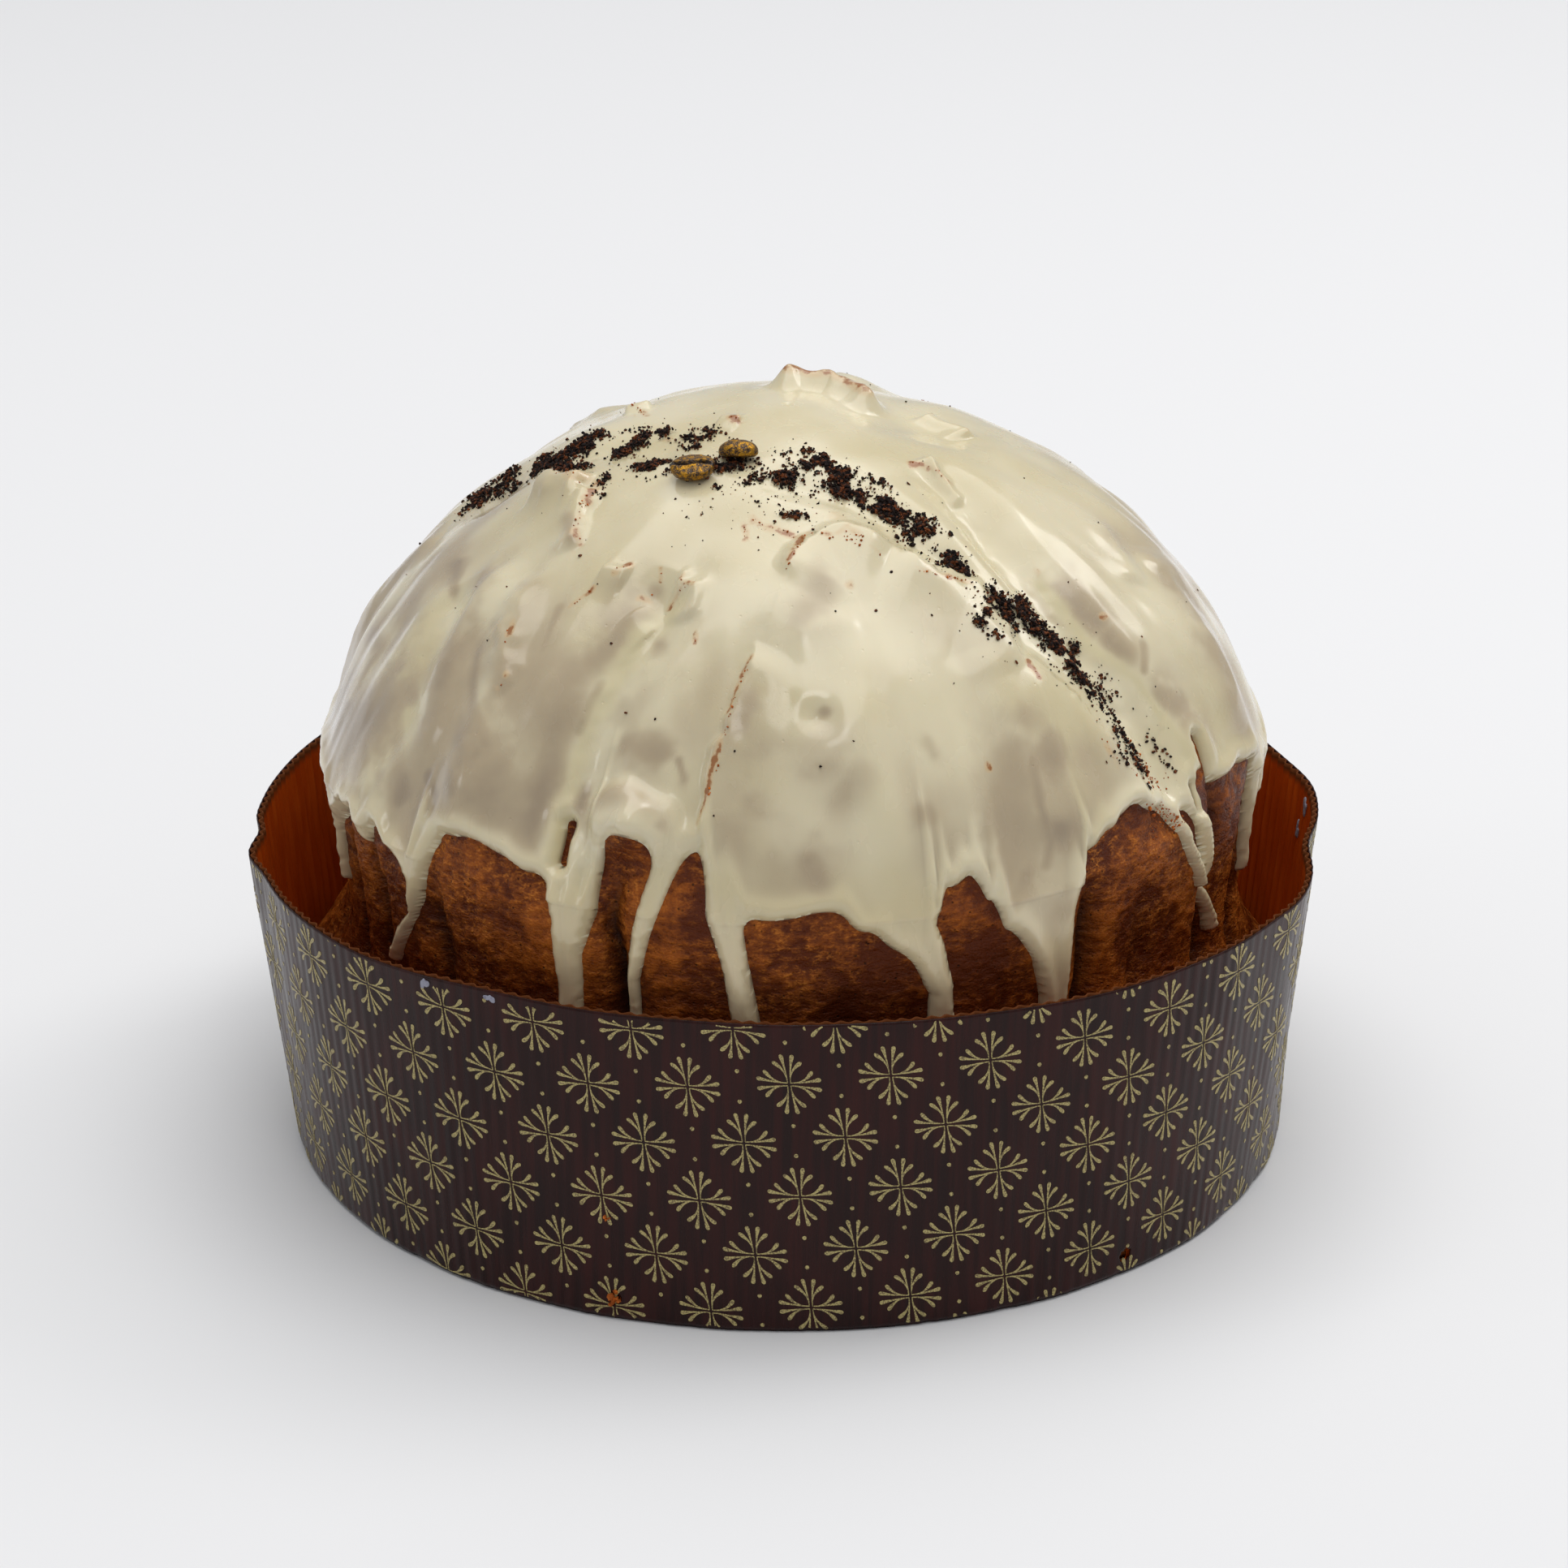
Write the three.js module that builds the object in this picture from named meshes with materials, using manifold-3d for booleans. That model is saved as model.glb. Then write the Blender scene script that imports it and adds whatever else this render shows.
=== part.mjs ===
// Iced panettone in its corrugated paper baking mould.
// All lengths are millimetres and all azimuths are degrees.
// The object stands on z = 0 with +Z up and its front along -Y; azimuth 0 is the
// front and grows towards +X.
import * as THREE from 'three';
import Module from 'manifold-3d';

// Mould: a nominal 1 kg low paper mould, 210 mm across the base.
const BASE_RADIUS = 105;
const MOULD_HEIGHT = 67;
const PAPER = 1.2;
const HEM_INNER_RADIUS = 94;
const DISC_RADIUS = 103.2;
const SEAM_CENTRE = 176;
const SEAM_WIDTH = 9;
const SEAM_STEP = 1.0;
const NEEDLE_HOLE_RADIUS = 1.5;
const NEEDLE_HOLE_HEIGHT = 4.6;
const NEEDLE_HOLE_AZIMUTHS = [-19, 40, 161, 220];

// Loaf: filled against the mould low down, necked above it, then domed.
const CLEARANCE = 0.4;
const FILL_HEIGHT = 24;
const NECK_RADIUS = 93.5;
const NECK_HEIGHT = 53;
const DOME_CENTRE = 60.4;
const DOME_RADIUS = 100;
const DOME_RISE = 94.5;
const DOME_START = 84;

// Glaze: a poured white shell with drips.
const GLAZE_GAP = 0.4;
const GLAZE_THICKNESS = 1.8;
const COLUMN_STEP = 6;
const SIDE_LEVELS = [8, 24, 31, 38, 46, 52, 58, 64, 70, 75, 80, 84];
const DOME_ANGLES = [70, 63, 55, 46, 37, 28, 19, 10];

const rad = THREE.MathUtils.degToRad;
const clamp = THREE.MathUtils.clamp;

function wrap(angle) {
  return ((((angle + 180) % 360) + 360) % 360) - 180;
}

function bump(angle, centre, width) {
  const d = wrap(angle - centre) / width;
  return Math.exp(-d * d);
}

function smooth(a, b, x) {
  const t = clamp((x - a) / (b - a), 0, 1);
  return t * t * (3 - 2 * t);
}

// The soft rim has gone slightly oval, with a few dents and bulges.
function rimRadius(azimuth) {
  const t = rad(azimuth);
  const oval = 109.5 - 3.6 * Math.cos(2 * t) - 1.2 * Math.cos(4 * t);
  const dents = -1.2 * bump(azimuth, -86, 3) - 2.7 * bump(azimuth, 82, 6);
  const bulges = 1.5 * bump(azimuth, -79, 3.5) + 1.1 * bump(azimuth, 67, 5);
  return oval + dents + bulges + 1.2 * bump(azimuth, 99, 6);
}

function wallOuter(azimuth, z) {
  return BASE_RADIUS + ((rimRadius(azimuth) - BASE_RADIUS) * z) / MOULD_HEIGHT;
}

function wallInner(azimuth, z) {
  return wallOuter(azimuth, z) - PAPER;
}

// Upright creases between the lobes of the crust: azimuth, lower and upper height,
// depth and half width.
const CREASES = [
  { azimuth: -20, low: 34, high: 96, depth: 4.0, half: 4.5 },
  { azimuth: 39, low: 34, high: 88, depth: 3.6, half: 4.5 },
  { azimuth: -48, low: 30, high: 84, depth: 2.0, half: 5 },
  { azimuth: 66, low: 34, high: 96, depth: 3.2, half: 4.5 },
  { azimuth: -70, low: 30, high: 88, depth: 2.4, half: 5 },
  { azimuth: 8, low: 40, high: 76, depth: 1.4, half: 6 },
  { azimuth: 104, low: 32, high: 90, depth: 2.8, half: 5 },
  { azimuth: 138, low: 32, high: 92, depth: 3.4, half: 5 },
  { azimuth: 172, low: 32, high: 86, depth: 2.4, half: 5 },
  { azimuth: -152, low: 32, high: 92, depth: 3.2, half: 5 },
  { azimuth: -118, low: 32, high: 88, depth: 2.8, half: 5 },
];

// Grooves and ridges of the scored dome: start and end as plan points, height and
// half width. Positive heights are ridges.
const DOME_LINES = [
  { from: [-16, -50], to: [-38, -82], height: -3.2, half: 6 },
  { from: [30, -22], to: [66, -56], height: -3.4, half: 6 },
  { from: [10, -46], to: [34, -48], height: 1.8, half: 4 },
  { from: [34, -49], to: [72, -52], height: 2.2, half: 6 },
  { from: [-46, -14], to: [-41, -34], height: 2.4, half: 5 },
  { from: [-48, 30], to: [-78, 52], height: -3.0, half: 7 },
  { from: [28, 40], to: [48, 76], height: -3.2, half: 7 },
  { from: [62, 14], to: [88, 22], height: 2.0, half: 7 },
  { from: [-10, 44], to: [-18, 80], height: 2.0, half: 7 },
];

// The flap at the crown that stands up above the glaze.
const CROWN = { from: [-2, 14], to: [16, 7], height: 4.2, half: 4.5 };

function lineRelief(x, y, line) {
  const [ax, ay] = line.from;
  const [bx, by] = line.to;
  const dx = bx - ax;
  const dy = by - ay;
  const along = clamp(((x - ax) * dx + (y - ay) * dy) / (dx * dx + dy * dy), 0, 1);
  const px = x - ax - along * dx;
  const py = y - ay - along * dy;
  const gap = Math.hypot(px, py) / line.half;
  return line.height * Math.exp(-gap * gap);
}

function relief(azimuth, x, y, z) {
  let sum = 0;
  for (const crease of CREASES) {
    const across = (rad(wrap(azimuth - crease.azimuth)) * 96) / crease.half;
    const fade = smooth(crease.low, crease.low + 12, z) * (1 - smooth(crease.high - 14, crease.high, z));
    sum -= crease.depth * Math.exp(-across * across) * fade;
  }
  const lobes = 0.9 * Math.cos(rad(3 * azimuth + 40)) + 0.7 * Math.cos(rad(5 * azimuth - 70));
  sum += lobes * smooth(36, 60, z) * (1 - smooth(130, 150, z));
  if (z > 78) {
    for (const line of DOME_LINES) {
      sum += lineRelief(x, y, line);
    }
    sum += lineRelief(x, y, CROWN);
  }
  return sum;
}

// Crust radius by height, below the dome.
function sideRadius(azimuth, z) {
  if (z <= FILL_HEIGHT) {
    return wallInner(azimuth, z) - CLEARANCE;
  }
  const low = wallInner(azimuth, FILL_HEIGHT) - CLEARANCE;
  if (z <= NECK_HEIGHT) {
    return THREE.MathUtils.lerp(low, NECK_RADIUS, smooth(FILL_HEIGHT, NECK_HEIGHT, z));
  }
  return THREE.MathUtils.lerp(NECK_RADIUS, 96.8, smooth(NECK_HEIGHT, DOME_START + 6, z));
}

// A point on the loaf's side or dome, moved outwards by `offset`.
function surfacePoint(azimuth, level, offset) {
  const t = rad(azimuth);
  let r;
  let z;
  let nr;
  let nz;
  if (level.angle === undefined) {
    z = level.z;
    r = sideRadius(azimuth, z);
    const slope = sideRadius(azimuth, z + 0.5) - sideRadius(azimuth, z - 0.5);
    const length = Math.hypot(1, slope);
    nr = 1 / length;
    nz = z > 70 ? -slope / length : 0;
  } else {
    const a = rad(level.angle);
    r = DOME_RADIUS * Math.sin(a);
    z = DOME_CENTRE + DOME_RISE * Math.cos(a);
    nr = Math.sin(a) / DOME_RADIUS;
    nz = Math.cos(a) / DOME_RISE;
    const length = Math.hypot(nr, nz);
    nr /= length;
    nz /= length;
  }
  const d = relief(azimuth, r * Math.sin(t), -r * Math.cos(t), z) + offset;
  const rr = r + nr * d;
  return new THREE.Vector3(rr * Math.sin(t), -rr * Math.cos(t), z + nz * d);
}

// One meridian level for any height on the loaf.
function levelAt(z) {
  if (z <= DOME_START) {
    return { z };
  }
  const c = clamp((z - DOME_CENTRE) / DOME_RISE, -1, 1);
  return { angle: THREE.MathUtils.radToDeg(Math.acos(c)) };
}

// Closed body from a stack of equal rings plus a point at each end.
function ringBody(rings, first, last) {
  const points = [first];
  const triangles = [];
  const n = rings[0].length;
  for (const ring of rings) {
    points.push(...ring);
  }
  points.push(last);
  const end = points.length - 1;
  for (let i = 0; i < n; i += 1) {
    const j = (i + 1) % n;
    triangles.push([0, 1 + j, 1 + i]);
    for (let k = 0; k < rings.length - 1; k += 1) {
      const a = 1 + k * n;
      const b = a + n;
      triangles.push([a + i, a + j, b + j]);
      triangles.push([a + i, b + j, b + i]);
    }
    const top = 1 + (rings.length - 1) * n;
    triangles.push([top + i, top + j, end]);
  }
  return { points, triangles };
}

// Closed body from rings that form a loop in cross-section.
function loopBody(rings) {
  const points = [];
  const triangles = [];
  const n = rings[0].length;
  for (const ring of rings) {
    points.push(...ring);
  }
  for (let k = 0; k < rings.length; k += 1) {
    const a = k * n;
    const b = ((k + 1) % rings.length) * n;
    for (let i = 0; i < n; i += 1) {
      const j = (i + 1) % n;
      triangles.push([a + i, a + j, b + j]);
      triangles.push([a + i, b + j, b + i]);
    }
  }
  return { points, triangles };
}

function makeMesh(name, body, colour, roughness) {
  const positions = [];
  for (const triangle of body.triangles) {
    for (const index of triangle) {
      const p = body.points[index];
      positions.push(p.x, p.y, p.z);
    }
  }
  const geometry = new THREE.BufferGeometry();
  geometry.setAttribute('position', new THREE.Float32BufferAttribute(positions, 3));
  geometry.computeVertexNormals();
  const material = new THREE.MeshStandardMaterial({ color: colour, roughness });
  const mesh = new THREE.Mesh(geometry, material);
  mesh.name = name;
  return mesh;
}

// ---- paper mould ----
const wasm = await Module();
wasm.setup();

function toManifold(body) {
  const vertProperties = new Float32Array(body.points.flatMap((p) => [p.x, p.y, p.z]));
  const triVerts = new Uint32Array(body.triangles.flat());
  return new wasm.Manifold(new wasm.Mesh({ numProp: 3, vertProperties, triVerts }));
}

function fromManifold(solid) {
  const mesh = solid.getMesh();
  const points = [];
  const triangles = [];
  const step = mesh.numProp;
  for (let i = 0; i < mesh.vertProperties.length; i += step) {
    const v = mesh.vertProperties;
    points.push(new THREE.Vector3(v[i], v[i + 1], v[i + 2]));
  }
  for (let i = 0; i < mesh.triVerts.length; i += 3) {
    triangles.push([mesh.triVerts[i], mesh.triVerts[i + 1], mesh.triVerts[i + 2]]);
  }
  return { points, triangles };
}

function ringAt(azimuths, radiusOf, z) {
  return azimuths.map((azimuth) => {
    const t = rad(azimuth);
    const r = radiusOf(azimuth);
    return new THREE.Vector3(r * Math.sin(t), -r * Math.cos(t), z);
  });
}

// A short round rod through the paper, as the hanging needle goes.
function needleBody(azimuth) {
  const t = rad(azimuth);
  const out = new THREE.Vector3(Math.sin(t), -Math.cos(t), 0);
  const side = new THREE.Vector3(Math.cos(t), Math.sin(t), 0);
  const up = new THREE.Vector3(0, 0, 1);
  const ends = [BASE_RADIUS - 5, BASE_RADIUS + 5].map((r) => (
    out.clone().multiplyScalar(r).addScaledVector(up, NEEDLE_HOLE_HEIGHT)
  ));
  const rings = ends.map((centre) => {
    const ring = [];
    for (let i = 0; i < 12; i += 1) {
      const a = (2 * Math.PI * i) / 12;
      ring.push(centre.clone()
        .addScaledVector(side, NEEDLE_HOLE_RADIUS * Math.cos(a))
        .addScaledVector(up, NEEDLE_HOLE_RADIUS * Math.sin(a)));
    }
    return ring;
  });
  return ringBody(rings, ends[0], ends[1]);
}

function buildWall() {
  const azimuths = [];
  for (let a = -180; a < 180; a += COLUMN_STEP) {
    azimuths.push(a);
  }
  const half = SEAM_WIDTH / 2;
  azimuths.push(SEAM_CENTRE - half, SEAM_CENTRE - half + 0.3, SEAM_CENTRE + 3.6);
  azimuths.sort((p, q) => p - q);
  const seam = (azimuth) => {
    const inside = azimuth > SEAM_CENTRE - half + 0.1 && azimuth < SEAM_CENTRE + 3.7;
    return inside ? SEAM_STEP : 0;
  };
  const outer = (z) => ringAt(azimuths, (a) => wallOuter(a, z) + (z > 3 ? seam(a) : 0), z);
  const inner = (z) => ringAt(azimuths, (a) => wallInner(a, z), z);
  const rings = [
    ringAt(azimuths, () => HEM_INNER_RADIUS, 0),
    ringAt(azimuths, (a) => wallOuter(a, 0) - 0.5, 0),
    outer(0.6),
    outer(24),
    outer(48),
    outer(MOULD_HEIGHT),
    inner(MOULD_HEIGHT),
    inner(48),
    inner(24),
    inner(PAPER),
    ringAt(azimuths, () => HEM_INNER_RADIUS, PAPER),
  ];
  let solid = toManifold(loopBody(rings));
  for (const azimuth of NEEDLE_HOLE_AZIMUTHS) {
    solid = solid.subtract(toManifold(needleBody(azimuth)));
  }
  return fromManifold(solid);
}

function buildDisc() {
  const azimuths = [];
  for (let a = -180; a < 180; a += 2 * COLUMN_STEP) {
    azimuths.push(a);
  }
  const low = PAPER + 0.3;
  const high = low + PAPER;
  const rings = [ringAt(azimuths, () => DISC_RADIUS, low), ringAt(azimuths, () => DISC_RADIUS, high)];
  return ringBody(rings, new THREE.Vector3(0, 0, low), new THREE.Vector3(0, 0, high));
}

// ---- glaze edge ----
// Lower edge of the glaze between the drips: azimuth and height.
const EDGE = [
  [-180, 88], [-166, 80], [-154, 90], [-142, 84], [-128, 92], [-116, 80], [-104, 84],
  [-94, 82], [-86, 84], [-76, 82], [-64, 84], [-58, 85], [-52, 81], [-47, 88], [-41, 92],
  [-35, 90], [-30, 89], [-23, 98], [-17, 98], [-14, 92], [-10, 98], [-8, 88], [-3, 85],
  [5, 86], [9, 82], [14, 77], [17, 85], [21, 91], [24, 86], [27, 79], [31, 72], [37, 85],
  [40, 91], [46, 94], [52, 92], [58, 86], [62, 92], [66, 88], [74, 90], [80, 82], [86, 82],
  [96, 86], [108, 92], [120, 82], [132, 90], [146, 84], [158, 92], [170, 82],
];

// Drips: azimuth, height of the tip and width.
const DRIPS = [
  { azimuth: -71, tip: 62, width: 2.6 },
  { azimuth: -53, tip: 57, width: 4.2 },
  { azimuth: -27, tip: 52, width: 5.8 },
  { azimuth: -16, tip: 58, width: 4.2 },
  { azimuth: -6, tip: 56, width: 5.8 },
  { azimuth: 18.5, tip: 55, width: 6.0 },
  { azimuth: 34, tip: 53, width: 7.6 },
  { azimuth: 58, tip: 70, width: 2.8 },
  { azimuth: 64, tip: 57, width: 3.2 },
  { azimuth: 81, tip: 58, width: 2.8 },
  { azimuth: 103, tip: 60, width: 4.4 },
  { azimuth: 124, tip: 54, width: 5.4 },
  { azimuth: 171, tip: 53, width: 6.0 },
  { azimuth: -138, tip: 55, width: 5.4 },
  { azimuth: -93, tip: 66, width: 3.4 },
];

function edgeHeight(azimuth) {
  const a = wrap(azimuth);
  for (let i = 0; i < EDGE.length; i += 1) {
    const [a0, z0] = EDGE[i];
    const [a1, z1] = i + 1 < EDGE.length ? EDGE[i + 1] : [EDGE[0][0] + 360, EDGE[0][1]];
    if (a >= a0 && a <= a1) {
      return THREE.MathUtils.lerp(z0, z1, smooth(a0, a1, a));
    }
  }
  return EDGE[0][1];
}

// Columns shared by the loaf and the glaze: an even sweep, thinned around the drips,
// plus a flank and an edge column on each side of every drip.
function columnList() {
  const list = [];
  for (let a = -180; a < 180; a += COLUMN_STEP) {
    const near = DRIPS.some((drip) => Math.abs(wrap(a - drip.azimuth)) < 3.6);
    if (!near) {
      list.push({ azimuth: a, z: edgeHeight(a) });
    }
  }
  for (const drip of DRIPS) {
    const half = THREE.MathUtils.radToDeg(drip.width / 2 / 94);
    for (const side of [-1, 1]) {
      const flank = drip.azimuth + side * (half + 0.9);
      list.push({ azimuth: flank, z: edgeHeight(flank) });
      list.push({ azimuth: drip.azimuth + side * half, z: drip.tip });
    }
  }
  list.sort((p, q) => wrap(p.azimuth) - wrap(q.azimuth));
  return list;
}

const COLUMNS = columnList();

// The loaf, or the same body grown by `offset` above its foot.
function loafBody(offset) {
  const low = 2 * PAPER + 0.3 + CLEARANCE;
  const azimuths = COLUMNS.map((column) => column.azimuth);
  const foot = (inset, z) => ringAt(azimuths, (a) => wallInner(a, z) - CLEARANCE - inset, z);
  const rings = [foot(6, low), foot(2, low + 1.2)];
  for (const z of SIDE_LEVELS) {
    rings.push(COLUMNS.map((column) => surfacePoint(column.azimuth, { z }, offset)));
  }
  for (const angle of DOME_ANGLES) {
    rings.push(COLUMNS.map((column) => surfacePoint(column.azimuth, { angle }, offset)));
  }
  const crown = surfacePoint(0, { angle: 0 }, offset);
  return ringBody(rings, new THREE.Vector3(0, 0, low), crown);
}

// The glaze's rows follow the loaf's own levels from the crown down. A row that would
// fall below its column's edge is gathered just above that edge instead. What the loaf
// fills, with a hairline around it, is then cut away.
function buildGlaze() {
  const heights = DOME_ANGLES.slice().reverse()
    .map((angle) => DOME_CENTRE + DOME_RISE * Math.cos(rad(angle)))
    .concat(SIDE_LEVELS.slice().reverse().filter((z) => z > 50));
  const row = (offset) => heights.map((height, k) => (
    COLUMNS.map((column) => {
      const rim = column.z + (offset > 0 ? 0.6 : 0);
      const z = Math.max(height, rim + 0.06 * (heights.length - k));
      return surfacePoint(column.azimuth, levelAt(z), offset);
    })
  ));
  const outer = row(GLAZE_GAP + GLAZE_THICKNESS);
  const inner = row(-3);
  const rings = inner.concat(outer.slice().reverse());
  const inside = surfacePoint(0, { angle: 0 }, -3);
  const outside = surfacePoint(0, { angle: 0 }, GLAZE_GAP + GLAZE_THICKNESS);
  const shell = toManifold(ringBody(rings, inside, outside));
  const pieces = shell.subtract(toManifold(loafBody(GLAZE_GAP))).decompose();
  pieces.sort((p, q) => q.volume() - p.volume());
  return fromManifold(pieces[0]);
}

// ---- topping ----
// Height of the glazed dome above a plan point, and its outward direction.
function seat(x, y, lift) {
  const azimuth = THREE.MathUtils.radToDeg(Math.atan2(x, -y));
  let angle = THREE.MathUtils.radToDeg(Math.asin(Math.min(1, Math.hypot(x, y) / (DOME_RADIUS + 2))));
  angle = Math.min(angle, 76);
  const offset = GLAZE_GAP + GLAZE_THICKNESS;
  const p = surfacePoint(azimuth, { angle }, offset + lift);
  const q = surfacePoint(azimuth, { angle: angle + 2 }, offset + lift);
  const s = surfacePoint(azimuth + 2, { angle }, offset + lift);
  const down = q.sub(p).normalize();
  const side = s.sub(p).normalize();
  return { p, normal: down.clone().cross(side).normalize(), down, side };
}

function randomFrom(seed) {
  let state = seed;
  return () => {
    state = (state * 1103515245 + 12345) % 2147483648;
    return state / 2147483648;
  };
}

// A small irregular lump lying on the glaze.
function lump(x, y, length, width, height, turn, seed, lift) {
  const random = randomFrom(seed);
  const { p, normal, down, side } = seat(x, y, lift + height / 2);
  const c = Math.cos(turn);
  const s = Math.sin(turn);
  const u = side.clone().multiplyScalar(c).addScaledVector(down, s);
  const v = normal.clone().cross(u).normalize();
  const rings = [];
  const around = 6;
  for (const level of [-0.45, 0.25]) {
    const spread = level < 0 ? 1 : 0.72;
    const ring = [];
    for (let i = 0; i < around; i += 1) {
      const a = (2 * Math.PI * i) / around + level;
      const k = spread * (0.82 + 0.3 * random());
      ring.push(p.clone()
        .addScaledVector(u, 0.5 * length * k * Math.cos(a))
        .addScaledVector(v, 0.5 * width * k * Math.sin(a))
        .addScaledVector(normal, level * height));
    }
    rings.push(ring);
  }
  const low = p.clone().addScaledVector(normal, -0.5 * height);
  const high = p.clone().addScaledVector(normal, 0.5 * height);
  return ringBody(rings, low, high);
}

// Half-egg coffee bean: a domed back and a flat face with a groove along it.
function bean(x, y, size, turn, tilt, lift) {
  const { p, normal, down, side } = seat(x, y, size.lift + lift);
  const u = side.clone().multiplyScalar(Math.cos(turn)).addScaledVector(down, Math.sin(turn));
  const across = normal.clone().cross(u).normalize();
  const up = normal.clone().applyAxisAngle(u, tilt);
  const v = across.clone().applyAxisAngle(u, tilt);
  const rings = [];
  const around = 14;
  const rows = 9;
  for (let k = 1; k < rows; k += 1) {
    const a = (Math.PI * k) / rows;
    const ring = [];
    for (let i = 0; i < around; i += 1) {
      const b = (-2 * Math.PI * i) / around;
      const lateral = 0.5 * size.width * Math.sin(a) * Math.sin(b);
      const depth = Math.cos(b) * Math.sin(a);
      const groove = 0.5 * Math.exp(-((lateral / 0.7) ** 2)) * Math.sin(a);
      const rise = depth > 0 ? 0.9 * depth - groove : size.back * depth;
      ring.push(p.clone()
        .addScaledVector(u, -0.5 * size.length * Math.cos(a))
        .addScaledVector(v, lateral)
        .addScaledVector(up, rise));
    }
    rings.push(ring);
  }
  const first = p.clone().addScaledVector(u, -0.5 * size.length);
  const last = p.clone().addScaledVector(u, 0.5 * size.length);
  return ringBody(rings, first, last);
}

// Clusters of ground coffee strewn over the crown: plan position, length and width.
const CRUMBS = [
  [-65, 10, 7, 3], [-58, 4, 8, 4], [-51, 1, 8, 5], [-44, -2, 9, 5], [-38, 1, 8, 4],
  [-35, -9, 8, 4], [-29, -9, 8, 4], [-20, -12, 9, 4], [-29, -18, 7, 4], [-11, -16, 6, 3],
  [-14, -33, 6, 3], [-7, -30, 5, 3], [-1, -30, 8, 4], [6, -28, 9, 5], [9, -33, 8, 4],
  [16, -37, 8, 5], [22, -41, 9, 4], [29, -44, 9, 5], [35, -46, 7, 5], [39, -52, 5, 3],
  [46, -53, 8, 4], [52, -54, 8, 5], [57, -56, 8, 5], [62, -57, 8, 4], [66, -58, 6, 4],
  [70, -59, 5, 3], [73, -60, 4, 3],
];

const SIZE_FLAT = { length: 8.9, width: 6.6, back: 2.2, lift: 2.2 };
const SIZE_EDGE = { length: 8.2, width: 6.0, back: 2.0, lift: 2.9 };

// Spots of glaze that fell on the paper: azimuth, height and width.
const DROPS = [
  { azimuth: -40.5, z: 64.6, width: 2.6 },
  { azimuth: -32, z: 65.0, width: 2.8 },
];

function buildDrop(drop) {
  const t = rad(drop.azimuth);
  const out = new THREE.Vector3(Math.sin(t), -Math.cos(t), 0);
  const side = new THREE.Vector3(Math.cos(t), Math.sin(t), 0);
  const up = new THREE.Vector3(0, 0, 1);
  const centre = out.clone().multiplyScalar(wallOuter(drop.azimuth, drop.z) + 0.35);
  centre.z = drop.z;
  const rings = [];
  for (const [spread, rise] of [[1, 0], [0.8, 0.35]]) {
    const ring = [];
    for (let i = 0; i < 10; i += 1) {
      const a = (2 * Math.PI * i) / 10;
      ring.push(centre.clone()
        .addScaledVector(side, 0.5 * drop.width * spread * Math.cos(a))
        .addScaledVector(up, 0.65 * drop.width * spread * Math.sin(a))
        .addScaledVector(out, rise));
    }
    rings.push(ring);
  }
  return ringBody(rings, centre.clone(), centre.clone().addScaledVector(out, 0.5));
}

// Lowest seat, with a hairline of air, at which a piece touches nothing placed so far.
const placed = [];

function settle(makeBody) {
  for (let lift = 0.1; lift < 3; lift += 0.15) {
    const body = makeBody(lift);
    const probe = toManifold(makeBody(lift - 0.1));
    const clear = placed.every((other) => probe.intersect(other).volume() < 0.0005);
    if (clear) {
      placed.push(toManifold(body));
      return body;
    }
  }
  throw new Error('a piece finds no seat');
}

const part = new THREE.Group();
part.name = 'panettone';
const glaze = buildGlaze();
placed.push(toManifold(glaze));
part.add(makeMesh('mould_wall', buildWall(), 0x3a201a, 0.45));
part.add(makeMesh('mould_base', buildDisc(), 0x5a3018, 0.8));
part.add(makeMesh('loaf', loafBody(0), 0x8a4e1c, 0.8));
part.add(makeMesh('glaze', glaze, 0xece3cc, 0.4));
const flatBean = settle((lift) => bean(-19.5, -26.5, SIZE_FLAT, 0.25, 0.1, lift));
const edgeBean = settle((lift) => bean(-10.5, -22.5, SIZE_EDGE, -0.2, 1.2, lift));
part.add(makeMesh('coffee_bean_1', flatBean, 0x6a5220, 0.45));
part.add(makeMesh('coffee_bean_2', edgeBean, 0x5a4218, 0.45));
CRUMBS.forEach(([x, y, length, width], index) => {
  const number = String(index + 1).padStart(2, '0');
  const turn = Math.sin(7.3 * index);
  const seed = 17 + 31 * index;
  const body = settle((lift) => lump(x, y, length, width, 1.6, turn, seed, lift));
  part.add(makeMesh(`coffee_crumb_${number}`, body, 0x24140e, 0.9));
});
DROPS.forEach((drop, index) => {
  part.add(makeMesh(`glaze_drop_${index + 1}`, buildDrop(drop), 0xece3cc, 0.4));
});

export default part;
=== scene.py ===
"""Iced panettone standing in its corrugated paper mould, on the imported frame.

Sizes are in millimetres and azimuths in degrees from the front, growing to the right, unless a
line says otherwise. The studio's sizes are in metres.
"""
import logging
import math
from dataclasses import dataclass, field
from enum import Enum
from typing import Sequence, Union

import bpy
import numpy as np
from mathutils import Matrix, Vector


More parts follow.
